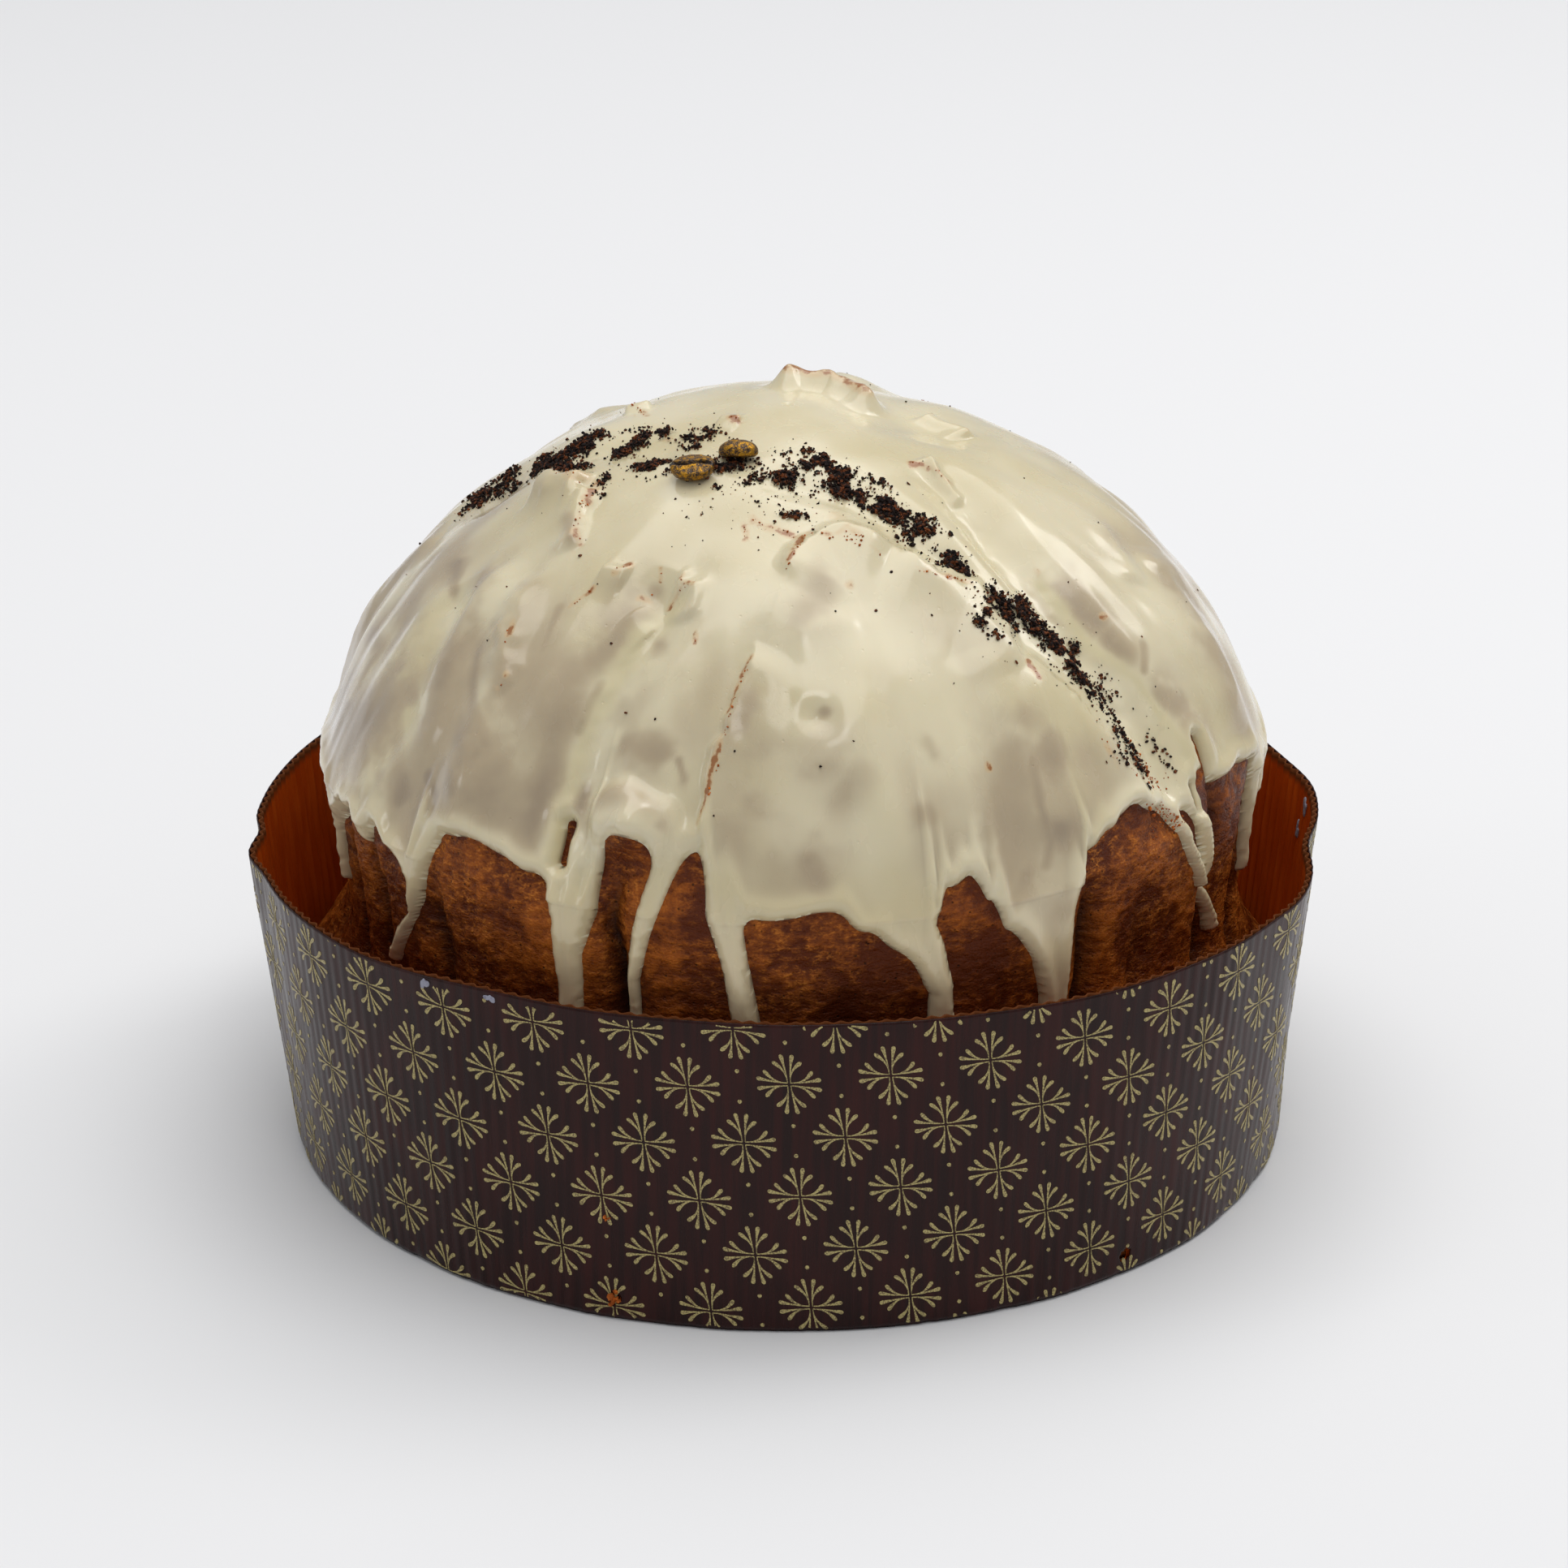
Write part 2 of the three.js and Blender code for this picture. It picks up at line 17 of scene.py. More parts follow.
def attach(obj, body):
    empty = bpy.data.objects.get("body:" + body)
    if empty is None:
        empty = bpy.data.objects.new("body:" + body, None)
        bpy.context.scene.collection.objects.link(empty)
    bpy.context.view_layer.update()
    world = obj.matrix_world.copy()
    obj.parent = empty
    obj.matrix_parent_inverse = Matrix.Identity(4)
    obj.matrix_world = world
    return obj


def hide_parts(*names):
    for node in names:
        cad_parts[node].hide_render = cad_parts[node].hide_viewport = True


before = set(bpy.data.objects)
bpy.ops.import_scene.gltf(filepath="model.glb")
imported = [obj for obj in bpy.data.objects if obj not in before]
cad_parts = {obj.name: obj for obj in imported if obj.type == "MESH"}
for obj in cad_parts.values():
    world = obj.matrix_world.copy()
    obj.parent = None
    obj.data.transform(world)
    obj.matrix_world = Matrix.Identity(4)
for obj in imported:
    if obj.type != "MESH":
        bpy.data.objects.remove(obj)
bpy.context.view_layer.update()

LOG = logging.getLogger("panettone")
MM = 0.001

Array = np.ndarray
Pair = tuple[float, float]
SpacePoint = tuple[float, float, float]
Colour = tuple[float, float, float]

# Mould.
BASE_RADIUS = 105.0
MOULD_HEIGHT = 67.0
PAPER = 1.2
HEM_INNER_RADIUS = 94.0
DISC_RADIUS = 103.2
FLUTES = 224
SEAM_CENTRE = 176.0
NEEDLE_HOLES = (-19.0, 40.0, 161.0, -140.0)
NEEDLE_HEIGHT = 4.6
NEEDLE_RADIUS = 1.45

# The rim is an oval, slightly squared, with dents and bulges: azimuth, half width, lift.
RIM_RADIUS = 109.5
RIM_OVAL = 3.6
RIM_SQUARE = 1.2
RIM_DENTS = ((-86, 3, -1.2), (82, 6, -2.7), (-79, 3.5, 1.5), (67, 5, 1.1), (99, 6, 1.2))

# Loaf and glaze.
CLEARANCE = 0.4
FILL_HEIGHT = 24.0
NECK_RADIUS = 93.5
NECK_HEIGHT = 53.0
BULGE_RADIUS = 96.8
DOME_CENTRE = 60.4
DOME_RADIUS = 100.0
DOME_RISE = 94.5
DOME_START = 84.0
DOME_START_ANGLE = math.degrees(math.acos((DOME_START - DOME_CENTRE) / DOME_RISE))
FOOT_HEIGHT = 3.1
CROWN_HEIGHT = DOME_CENTRE + DOME_RISE
GLAZE_LIFT = 0.25
GLAZE_FULL = 1.75
GLAZE_UNDER = 0.9
# Millimetres along the loaf's side for one degree.
SIDE_SCALE = math.radians(1.0) * 96.0


class Slot(Enum):
    """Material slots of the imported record."""

    PRINTED_PAPER = "mould_paper"
    BASE_PAPER = "base_paper"
    CRUST = "crust"
    GLAZE = "glaze"
    BEAN = "coffee_bean"
    GROUNDS = "ground_coffee"


# ---- small mathematics ----


def wrap(angle: Array) -> Array:
    """Bring angles into the half-open range from -180 to 180.

    Args:
        angle: Angles in degrees.

    Returns:
        The same angles, wrapped.
    """
    return (np.asarray(angle, float) + 180.0) % 360.0 - 180.0


def smooth(low: float, high: float, value: Array) -> Array:
    """Ease from 0 to 1 between two limits.

    Args:
        low: Value at which the result leaves 0.
        high: Value at which the result reaches 1.
        value: Values to ease.

    Returns:
        Eased values from 0 to 1.
    """
    t = np.clip((np.asarray(value, float) - low) / (high - low), 0.0, 1.0)
    return t * t * (3.0 - 2.0 * t)


def bump(angle: Array, centre: float, width: float) -> Array:
    """Give a bell-shaped swelling around an azimuth.

    Args:
        angle: Azimuths in degrees.
        centre: Azimuth of the swelling's middle.
        width: Half width in degrees.

    Returns:
        Values from 0 to 1.
    """
    return np.exp(-((wrap(angle - centre) / width) ** 2))


def soft_max(first: Array, second: Array, blend: float) -> Array:
    """Join two distance fields with a rounded fillet.

    Args:
        first: One field, positive inside.
        second: The other field, positive inside.
        blend: Size of the fillet.

    Returns:
        The joined field.
    """
    h = np.maximum(blend - np.abs(first - second), 0.0) / blend
    return np.maximum(first, second) + h * h * blend * 0.25


class Grain:
    """Seeded lattice noise that varies smoothly in space."""

    SIZE = 48

    def __init__(self, seed: int) -> None:
        """Fill the lattice.

        Args:
            seed: Seed of the random numbers.
        """
        self.values = np.random.default_rng(seed).uniform(-1.0, 1.0, (self.SIZE,) * 3)

    def at(self, x: Array, y: Array, z: Array, scale: float) -> Array:
        """Read one layer of noise.

        Args:
            x: X positions.
            y: Y positions.
            z: Z positions.
            scale: Size of one lump in millimetres.

        Returns:
            Values from -1 to 1.
        """
        cells, parts = [], []
        for axis in (x, y, z):
            q = np.asarray(axis, float) / scale + 1000.0
            base = np.floor(q)
            part = q - base
            cells.append(base.astype(np.int64) % self.SIZE)
            parts.append(part * part * (3.0 - 2.0 * part))
        total = 0.0
        for corner in range(8):
            weight = 1.0
            index = []
            for axis in range(3):
                step = (corner >> axis) & 1
                weight = weight * (parts[axis] if step else 1.0 - parts[axis])
                index.append((cells[axis] + step) % self.SIZE)
            total = total + weight * self.values[tuple(index)]
        return total

    def layered(self, x: Array, y: Array, z: Array, scale: float, layers: int) -> Array:
        """Add finer and fainter layers of noise.

        Args:
            x: X positions.
            y: Y positions.
            z: Z positions.
            scale: Size of the largest lumps.
            layers: Number of layers.

        Returns:
            Values of about -1 to 1.
        """
        total = 0.0
        for layer in range(layers):
            total = total + self.at(x, y, z + 7.7 * layer, scale / 2.0**layer) * 0.5**layer
        return total


# ---- mesh making ----


@dataclass
class Shape:
    """Points and faces of one piece, in millimetres."""

    points: Array
    faces: list[Array] = field(default_factory=list)
    marks: dict[str, Array] = field(default_factory=dict)

    @staticmethod
    def joined(shapes: Sequence["Shape"]) -> "Shape":
        """Put several plain shapes into one.

        Args:
            shapes: Shapes without marks.

        Returns:
            One shape that holds them all.
        """
        faces, start = [], 0
        for shape in shapes:
            faces += [block + start for block in shape.faces]
            start += len(shape.points)
        return Shape(np.concatenate([shape.points for shape in shapes]), faces)


def ring_faces(rows: int, columns: int, close: bool = False) -> Array:
    """Make the quads of a band of rings that go right round.

    Args:
        rows: Number of rings.
        columns: Number of points in a ring.
        close: Whether the last ring also joins the first.

    Returns:
        Quads as an array of four indices each, facing outwards when rings go upwards
        and azimuth grows.
    """
    last = rows if close else rows - 1
    k, i = np.meshgrid(np.arange(last), np.arange(columns), indexing="ij")
    j = (i + 1) % columns
    up = (k + 1) % rows
    quads = np.stack([k * columns + i, k * columns + j, up * columns + j, up * columns + i], -1)
    return quads.reshape(-1, 4)


def fan_faces(tip: int, first: int, columns: int, below: bool = False) -> Array:
    """Join a ring of points to one point.

    Args:
        tip: Index of the single point.
        first: Index of the ring's first point.
        columns: Number of points in the ring.
        below: Whether the point lies before the ring, so that the fan turns over.

    Returns:
        Triangles as an array of three indices each.
    """
    ring = first + np.arange(columns)
    following = np.roll(ring, -1)
    pair = (following, ring) if below else (ring, following)
    return np.stack([np.full(columns, tip), *pair], -1)


def build_mesh(name: str, shape: Shape, smooth_shaded: bool = True) -> bpy.types.Object:
    """Turn a shape into a Blender object.

    Args:
        name: Name of the object.
        shape: Points and faces in millimetres.
        smooth_shaded: Whether its faces are smooth.

    Returns:
        The new object, linked to the scene.
    """
    mesh = bpy.data.meshes.new(name)
    sizes = np.concatenate([np.full(len(block), block.shape[1]) for block in shape.faces])
    corners = np.concatenate([block.reshape(-1) for block in shape.faces]).astype(np.int32)
    mesh.vertices.add(len(shape.points))
    mesh.vertices.foreach_set("co", (shape.points * MM).astype(np.float32).reshape(-1))
    mesh.loops.add(len(corners))
    mesh.loops.foreach_set("vertex_index", corners)
    mesh.polygons.add(len(sizes))
    starts = np.concatenate([[0], np.cumsum(sizes)[:-1]]).astype(np.int32)
    mesh.polygons.foreach_set("loop_start", starts)
    mesh.polygons.foreach_set("use_smooth", np.full(len(sizes), smooth_shaded))
    mesh.update(calc_edges=True)
    mesh.validate()
    for mark, values in shape.marks.items():
        attribute = mesh.attributes.new(mark, "FLOAT", "POINT")
        attribute.data.foreach_set("value", np.asarray(values, np.float32).reshape(-1))
    piece = bpy.data.objects.new(name, mesh)
    bpy.context.scene.collection.objects.link(piece)
    return piece


def dressed(
    piece: bpy.types.Object, finish: bpy.types.Material, slot: Slot, *nodes: str
) -> bpy.types.Object:
    """Tie a piece to the frame and give it its finish.

    Args:
        piece: The object.
        finish: Its material.
        slot: Its material slot; not used.
        *nodes: CAD nodes it stands for.

    Returns:
        The same object.
    """
    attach(piece, "root")
    if nodes:
        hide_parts(*nodes)
    piece.data.materials.append(finish)
    return piece


# ---- form of the paper wall ----


def rim_radius(azimuth: Array) -> Array:
    """Give the rim's outer radius.

    Args:
        azimuth: Azimuths.

    Returns:
        Radii.
    """
    t = np.radians(azimuth)
    radius = RIM_RADIUS - RIM_OVAL * np.cos(2 * t) - RIM_SQUARE * np.cos(4 * t)
    for centre, width, lift in RIM_DENTS:
        radius = radius + lift * bump(azimuth, centre, width)
    return radius


def wall_radius(azimuth: Array, z: Array) -> Array:
    """Give the wall's outer radius.

    Args:
        azimuth: Azimuths.
        z: Heights.

    Returns:
        Radii.
    """
    return BASE_RADIUS + (rim_radius(azimuth) - BASE_RADIUS) * np.asarray(z, float) / MOULD_HEIGHT


def around(azimuth: Array, radius: Array, z: Array) -> Array:
    """Turn azimuth, radius and height into points.

    Args:
        azimuth: Azimuths.
        radius: Radii in millimetres.
        z: Heights.

    Returns:
        An array of points.
    """
    t = np.radians(azimuth)
    x, y, h = np.broadcast_arrays(radius * np.sin(t), -radius * np.cos(t), z)
    return np.stack([x, y, h], -1)


# ---- form of the loaf ----


@dataclass(frozen=True)
class Crease:
    """An upright fold between two lobes of the crust."""

    azimuth: float
    low: float
    high: float
    depth: float
    half: float


@dataclass(frozen=True)
class Fold:
    """A ridge or valley of the scored dome, drawn as a path in plan."""

    path: tuple[Pair, ...]
    height: float
    left: float
    right: float
    bare: float = 0.0


@dataclass(frozen=True)
class Swell:
    """A round lump or hollow at a point of the surface."""

    centre: SpacePoint
    height: float
    radius: float
    bare: float = 0.0
    flat: float = 1.0


@dataclass(frozen=True)
class Patch:
    """A mark on the glaze along a path of points, with its half width and strength."""

    path: tuple[SpacePoint, ...]
    width: float
    amount: float = 1.0


CREASES = tuple(Crease(*row) for row in (
    (-20.5, 30, 97, 4.6, 2.6), (39, 30, 90, 4.2, 3.0), (-47, 30, 84, 2.6, 3.4), (-43, 40, 70, 1.2, 2.0),
    (65, 30, 98, 3.6, 2.6), (-61, 30, 88, 2.6, 3.0), (-70, 28, 90, 2.4, 3.0), (7, 42, 74, 1.6, 3.0),
    (14, 44, 72, 1.2, 2.4), (27, 44, 70, 1.3, 3.0), (-34, 40, 76, 1.2, 3.6), (49, 40, 82, 1.4, 4.0),
    (78, 30, 92, 2.8, 3.0), (104, 32, 90, 3.0, 4.0), (120, 36, 80, 1.6, 3.0), (138, 32, 92, 3.8, 3.4),
    (155, 36, 78, 1.5, 4.0), (172, 32, 86, 3.0, 3.4), (-170, 38, 76, 1.4, 3.0), (-152, 32, 92, 3.6, 3.4),
    (-134, 36, 80, 1.8, 4.0), (-118, 32, 88, 3.2, 3.6), (-97, 34, 86, 2.4, 3.4), (-83, 34, 84, 1.6, 3.0),
))

FOLDS = tuple(Fold(*row) for row in (
    # The front panel's lifted top edge, along the strewn coffee.
    (((-1, -58), (2, -51), (6, -47), (13, -45), (20, -47)), 2.6, 2.2, 9.0),
    (((20, -47), (29, -50), (36, -49), (41, -54), (46, -60)), 2.2, 2.4, 9.0),
    (((46, -56), (56, -59), (66, -61), (74, -62)), 1.2, 2.4, 7.0),
    # The front panel's left side, a thin crack with a step.
    (((-5, -68), (-9, -77), (-13, -82), (-15, -87), (-16.5, -92)), 1.7, 7.0, 1.1),
    # The small curled flap and the line below it.
    (((-48, -11), (-45, -17), (-39, -21)), 3.4, 2.4, 4.5),
    (((-38, -22), (-41, -30), (-42, -38)), 2.2, 1.6, 4.5),
    # Small torn edges.
    (((27, 11), (33, 6), (36, 2)), 2.2, 2.4, 3.2, 0.6),
    (((26, -17), (31, -22), (35, -27)), 1.6, 2.0, 3.0),
    (((-33, 12), (-27, 12)), 1.8, 2.2, 3.0, 0.65),
    (((-14, -5), (-9, -7)), 1.6, 2.2, 3.0),
    (((-22, -53), (-18, -56), (-20, -62)), 2.2, 2.0, 3.2),
    (((-36, -46), (-31, -50)), 1.4, 2.2, 3.4),
    (((-56, -46), (-54, -53), (-53, -60)), 1.2, 2.0, 4.0),
    (((-30, -56), (-27, -62)), 1.2, 2.0, 3.5),
    (((60, -12), (70, -22)), 1.4, 3.0, 4.0),
    # Valleys and ridges that run down between the panels.
    (((-20, -52), (-30, -65), (-38, -75), (-43, -82), (-46, -90)), -3.8, 6.0, 6.5),
    (((24, -20), (38, -33), (47, -41), (58, -46), (67, -50), (75, -52), (83, -51)), -3.8, 7.5, 4.5),
    (((-66, 9), (-50, 0), (-34, -9), (-18, -20)), -1.5, 6.0, 5.0),
    (((-8, -30), (10, -35), (24, -43), (38, -51), (52, -55), (66, -58)), -1.4, 5.0, 4.0),
    (((-50, -38), (-54, -50), (-59, -64), (-62, -74)), 1.9, 5.0, 6.0),
    (((-64, -26), (-73, -40), (-78, -50)), -2.0, 6.0, 6.0),
    (((-56, -30), (-66, -44), (-70, -58)), 1.5, 5.0, 5.0),
    (((6, -62), (10, -76), (10, -88)), 1.0, 9.0, 9.0),
    (((38, -60), (46, -72), (50, -80)), 1.3, 7.0, 7.0),
    (((70, -8), (84, -18), (92, -28)), 2.6, 7.0, 6.0),
    (((60, 20), (80, 22), (94, 20)), -1.8, 7.0, 7.0),
    (((-14, 40), (-22, 62), (-30, 84)), -3.6, 6.0, 6.0),
    (((10, 30), (14, 56), (12, 84)), 2.4, 5.0, 9.0, 0.3),
    (((26, 36), (44, 54), (60, 68)), -3.4, 6.5, 6.0),
    (((-46, 24), (-62, 40), (-74, 54)), -3.0, 6.0, 7.0),
    (((-36, 34), (-46, 52), (-52, 70)), 2.2, 3.0, 8.0, 0.35),
    (((-72, 8), (-86, 16), (-94, 22)), 1.6, 6.0, 6.0),
))

SWELLS = tuple(Swell(*row) for row in (
    ((-38, 2, 150), 2.4, 13), ((28, 4, 153), -2.2, 12), ((-70, 8, 128), -1.2, 14),
    ((-32.0, -85, 101.5), 4.4, 6.6, 0.0, 2.4), ((-26.5, -88, 100.5), 3.2, 6.0, 0.0, 2.0),
    ((10, -80, 112), 1.4, 16), ((22, -84, 100), 1.2, 10), ((-2, -92, 96), 1.0, 10),
    ((0, -62, 134), 1.8, 9), ((5.4, -78, 118), -1.6, 3.0, 0.35),
    ((-60, -66, 98), 1.8, 9), ((-44, -66, 118), 1.2, 8), ((58, -70, 96), 1.2, 9),
    ((76, -30, 116), 1.6, 11), ((70, 36, 122), 1.8, 14), ((-20, 70, 122), 1.6, 14),
    ((-74, -8, 128), 1.2, 10), ((40, 70, 110), 1.4, 12), ((-60, 60, 110), 1.8, 13),
))

# Thin places where the dark crust shows through; the broad ones on the left flank also paint shade there.
VEILS_AND_SHADE = tuple(Patch(*row) for row in (
    (((-36, -67, 122), (-40, -71, 114)), 1.3), (((-26, -53, 136),), 1.6, 0.6),
    (((-25, -64, 129),), 2.4, 0.6), (((-40, -78, 103), (-41, -80, 99)), 2.6, 1.1),
    (((-31, -78, 114), (-25, -82, 114)), 3.5, 0.7),
    (((-61, -46, 124), (-62, -56, 116), (-59, -68, 110)), 1.8, 0.5),
    (((-87, -2, 109), (-83, -16, 110), (-87, -16, 104)), 3.0, 0.6),
    (((-78, -42, 105), (-77, -56, 94)), 4.0, 0.5),
    (((-71, -60, 100), (-69, -66, 98), (-69, -67, 94)), 1.5, 0.8),
    (((-49, -58, 125), (-50, -67, 117)), 9.0, 0.5), (((-45, -75, 106), (-47, -77, 100)), 5.0, 0.6),
    (((-31, -57, 134), (-35, -62, 127)), 4.5, 0.7), (((-67, -17, 129), (-67, -25, 126)), 2.0, 0.7),
    (((-61, -29, 132), (-62, -32, 129)), 2.0, 0.3), (((-78, -14, 118),), 5.0, 0.5),
    (((-44, -32, 144), (-43, -37, 142)), 2.0, 0.5), (((-48, -58, 126), (-45, -51, 132)), 1.2, 0.6),
    (((-21, -84, 113), (-20, -86, 110)), 1.3, 0.6), (((-25, -91, 102),), 1.7, 0.9),
    (((-15, -74, 127), (-16, -81, 118)), 6.0, 0.3), (((-31, -73, 119),), 6.0, 0.4),
    (((55, -37, 130), (58, -39, 126), (61, -39, 124)), 4.5, 0.8),
    (((64, -40, 121), (67, -41, 119)), 4.0, 0.9), (((71, -37, 119), (71, -41, 115)), 1.2, 0.8),
    (((74, -42, 110), (79, -40, 106), (82, -41, 100)), 4.5, 0.7),
    (((7, -60, 141), (5, -65, 138), (2, -68, 136)), 3.5, 0.4), (((7, -84, 119), (7, -88, 114)), 4.0, 0.3),
    (((14, -89, 112), (9, -91, 106)), 3.0, 0.35), (((27, -80, 116), (28, -81, 113)), 1.8, 0.35),
    (((42, -76, 111), (42, -83, 96), (43, -85, 90)), 6.0, 0.4), (((52, -71, 109),), 4.0, 0.6),
    (((47, -74, 109), (49, -78, 101), (51, -79, 94), (50, -81, 90)), 1.2, 0.55),
    (((53, -78, 96),), 3.0, 0.6), (((55, -79, 80),), 2.6, 0.8), (((46, -84, 89), (44, -86, 85)), 2.0, 0.6),
    (((4, -96, 97), (6, -97, 93)), 2.4, 0.5), (((26, -88, 104),), 2.4, 0.4),
    (((-88, -22, 92), (-82, -36, 104)), 12.0, 1.1), (((-78, -34, 114), (-70, -46, 116)), 7.0, 0.4),
    (((-66, -62, 96), (-60, -66, 106)), 7.0, 0.5), (((46, -70, 117),), 4.0, 0.4),
    (((-9, -83, 120), (-7, -79, 124)), 2.4, 0.4), (((7, -81, 122),), 1.5, 0.8),
    (((-42, 62, 118), (-50, 66, 110)), 6.0, 0.7), (((20, 70, 122), (24, 78, 110)), 7.0, 0.6),
    (((70, 44, 118), (76, 50, 106)), 6.0, 0.7), (((-80, 26, 112), (-86, 32, 100)), 6.0, 0.6),
    (((88, 6, 104), (90, 10, 96)), 5.0, 0.6),
))

# Places where the glaze lies thick and white; on the front panel and the right flank they also paint satin
# highlights.
THICK_AND_HIGHLIGHTS = tuple(Patch(*row) for row in (
    (((78, -25, 120), (70, -21, 129)), 9.0, 0.8), (((-54, -36, 134), (-58, -42, 128)), 8.0, 0.9),
    (((4, -93, 105), (-1, -89, 110)), 8.0, 0.7),
))

# Valleys where the glaze lies thick and yellowish.
POOLS = tuple(Patch(*row) for row in (
    (((-20, -58, 137), (-29, -62, 130), (-33, -66, 124), (-38, -71, 116), (-41, -74, 108), (-43, -78, 100),
      (-45, -82, 93)), 2.0),
    (((50, -37, 132), (56, -41, 126), (60, -43, 121), (66, -43, 117), (70, -43, 113), (74, -44, 107),
      (79, -45, 101), (82, -44, 95)), 1.6),
    (((-22, 62, 128), (-28, 78, 110)), 2.2), (((44, 54, 126), (58, 66, 106)), 2.2),
))

# Torn edges where toasted crust stands out of the glaze.
TORN = tuple(Patch(*row) for row in (
    (((-39, -25, 148), (-41, -31, 145), (-42, -36, 143), (-41, -38, 141)), 0.8),
    (((-34, -50, 139), (-31, -48, 140)), 0.8, 0.9),
    (((-38, -50, 136), (-40, -51, 135), (-43, -52, 133)), 0.6, 0.8),
    (((-21, -55, 140), (-19, -58, 140)), 0.8), (((-21, -57, 139), (-23, -57, 134)), 0.7, 0.9),
    (((-29, -54, 135), (-27, -55, 135)), 0.7, 0.9), (((-54, -50, 129), (-55, -53, 127)), 0.7, 0.9),
    (((-55, -59, 122), (-55, -60, 121)), 0.6, 0.8), (((-57, -61, 119), (-57, -62, 118)), 0.6, 0.6),
    (((-25, -50, 140), (-25, -52, 138)), 0.5, 0.7), (((-18, -66, 133), (-18, -68, 131)), 0.5, 0.7),
    (((-7, -73, 130), (-9, -75, 127), (-11, -80, 122), (-13, -85, 117), (-15, -88, 112), (-16, -90, 106),
      (-17, -91, 103)), 0.5),
    (((25, -53, 141), (31, -52, 139), (36, -50, 137)), 0.6, 0.9),
    (((47, -60, 124), (49, -62, 122)), 0.6, 0.8),
    (((62, -59, 110), (62, -62, 107), (66, -63, 101)), 0.7, 0.7), (((12, -59, 139),), 1.0, 0.9),
    (((39, -78, 109),), 0.8, 1.1), (((50, -35, 134),), 0.9, 0.9), (((63, -37, 125),), 1.0, 0.7),
    (((-9, -43, 147), (-8, -48, 145)), 0.8, 0.8), (((-7, -43, 147), (2, -48, 146)), 1.2, 0.6),
    (((3, -48, 146), (1, -55, 145), (0, -57, 144)), 0.7, 0.9), (((4, -47, 146), (9, -50, 147)), 0.7, 0.9),
    (((10, -49, 147), (12, -48, 147), (14, -49, 147)), 1.2, 1.1),
    (((16, -51, 145), (18, -51, 144)), 0.6, 0.7), (((-32, 14, 152), (-29, 5, 153)), 0.9, 0.8),
    (((-12, -7, 157), (-10, -8, 157)), 0.9, 0.8),
    (((25, -20, 151), (30, -21, 151), (32, -22, 149)), 1.0, 0.9),
    (((28, 35, 143), (29, 29, 145)), 1.0, 0.8), (((-24, -9, 153),), 2.0, 0.45),
    (((10, -41, 148),), 2.4, 0.4), (((-47, -12, 146), (-43, -20, 149), (-39, -22, 148)), 1.9, 0.75),
))

CROWN_FLAP = Fold(((-4, 12), (2, 15), (9, 14), (14, 9), (18, 3)), 4.0, 3.8, 3.2, 1.0)

# Heights between which parts of the relief come in or fade out.
FOLDS_RISE = (76, 92)
LOBES_RISE = (36, 60)
LOBES_FADE = (130, 150)
FLAP_RISE = (140, 150)
DETAIL_RISE = (FILL_HEIGHT - 6, FILL_HEIGHT + 14)
DETAIL_FADE = (108, 120)
CREASE_RISE = 12
CREASE_FADE = 16
# Above the first height the side's normal tilts, and from the second it turns to the dome's.
TILT_HEIGHT = 60.0
TURN_HEIGHT = 66.0

LARGE = Grain(11)
MEDIUM = Grain(23)
SMALL = Grain(37)


def along_path(x: Array, y: Array, path: Sequence[Pair]) -> tuple[Array, Array]:
    """Measure the way to a path in plan.

    Args:
        x: X positions.
        y: Y positions.
        path: Points of the path.

    Returns:
        The distance, negative to the path's left, and how far along it the nearest
        point is, from 0 to 1.
    """
    best = np.full(np.shape(x), 1e9)
    side = np.zeros(np.shape(x))
    share = np.zeros(np.shape(x))
    total = sum(math.dist(a, b) for a, b in zip(path, path[1:]))
    run = 0.0
    for (ax, ay), (bx, by) in zip(path, path[1:]):
        dx, dy = bx - ax, by - ay
        length = math.hypot(dx, dy)
        t = np.clip(((x - ax) * dx + (y - ay) * dy) / length**2, 0.0, 1.0)
        px, py = x - ax - t * dx, y - ay - t * dy
        gap = np.hypot(px, py)
        nearer = gap < best
        best = np.where(nearer, gap, best)
        side = np.where(nearer, np.sign(px * dy - py * dx), side)
        share = np.where(nearer, (run + t * length) / total, share)
        run += length
    return best * np.where(side == 0, 1.0, side), share


def patched(patches: Sequence[Patch], spots: Array, wobble: Array, spread: float = 1.0) -> Array:
    """Work out how strongly patches mark each point.

    Args:
        patches: The patches.
        spots: The points.
        wobble: Noise that frays their outlines.
        spread: Factor on the patches' half widths.

    Returns:
        Marks from 0 upwards.
    """
    mark = np.zeros(spots.shape[:-1])
    for patch in patches:
        points = np.array(patch.path, float)
        gap = np.linalg.norm(spots - points[0], axis=-1)
        for one, other in zip(points, points[1:]):
            step = other - one
            share = np.clip((spots - one) @ step / (step @ step), 0.0, 1.0)
            gap = np.minimum(gap, np.linalg.norm(spots - one - share[..., None] * step, axis=-1))
        ratio = gap / (patch.width * spread * (1.0 + 0.35 * wobble))
        mark = np.maximum(mark, patch.amount * np.exp(-(ratio**2)))
    return mark


@dataclass
class Relief:
    """What the surface does at each point: its lift, bareness and fold shade."""

    lift: Array
    bare: Array
    shade: Array


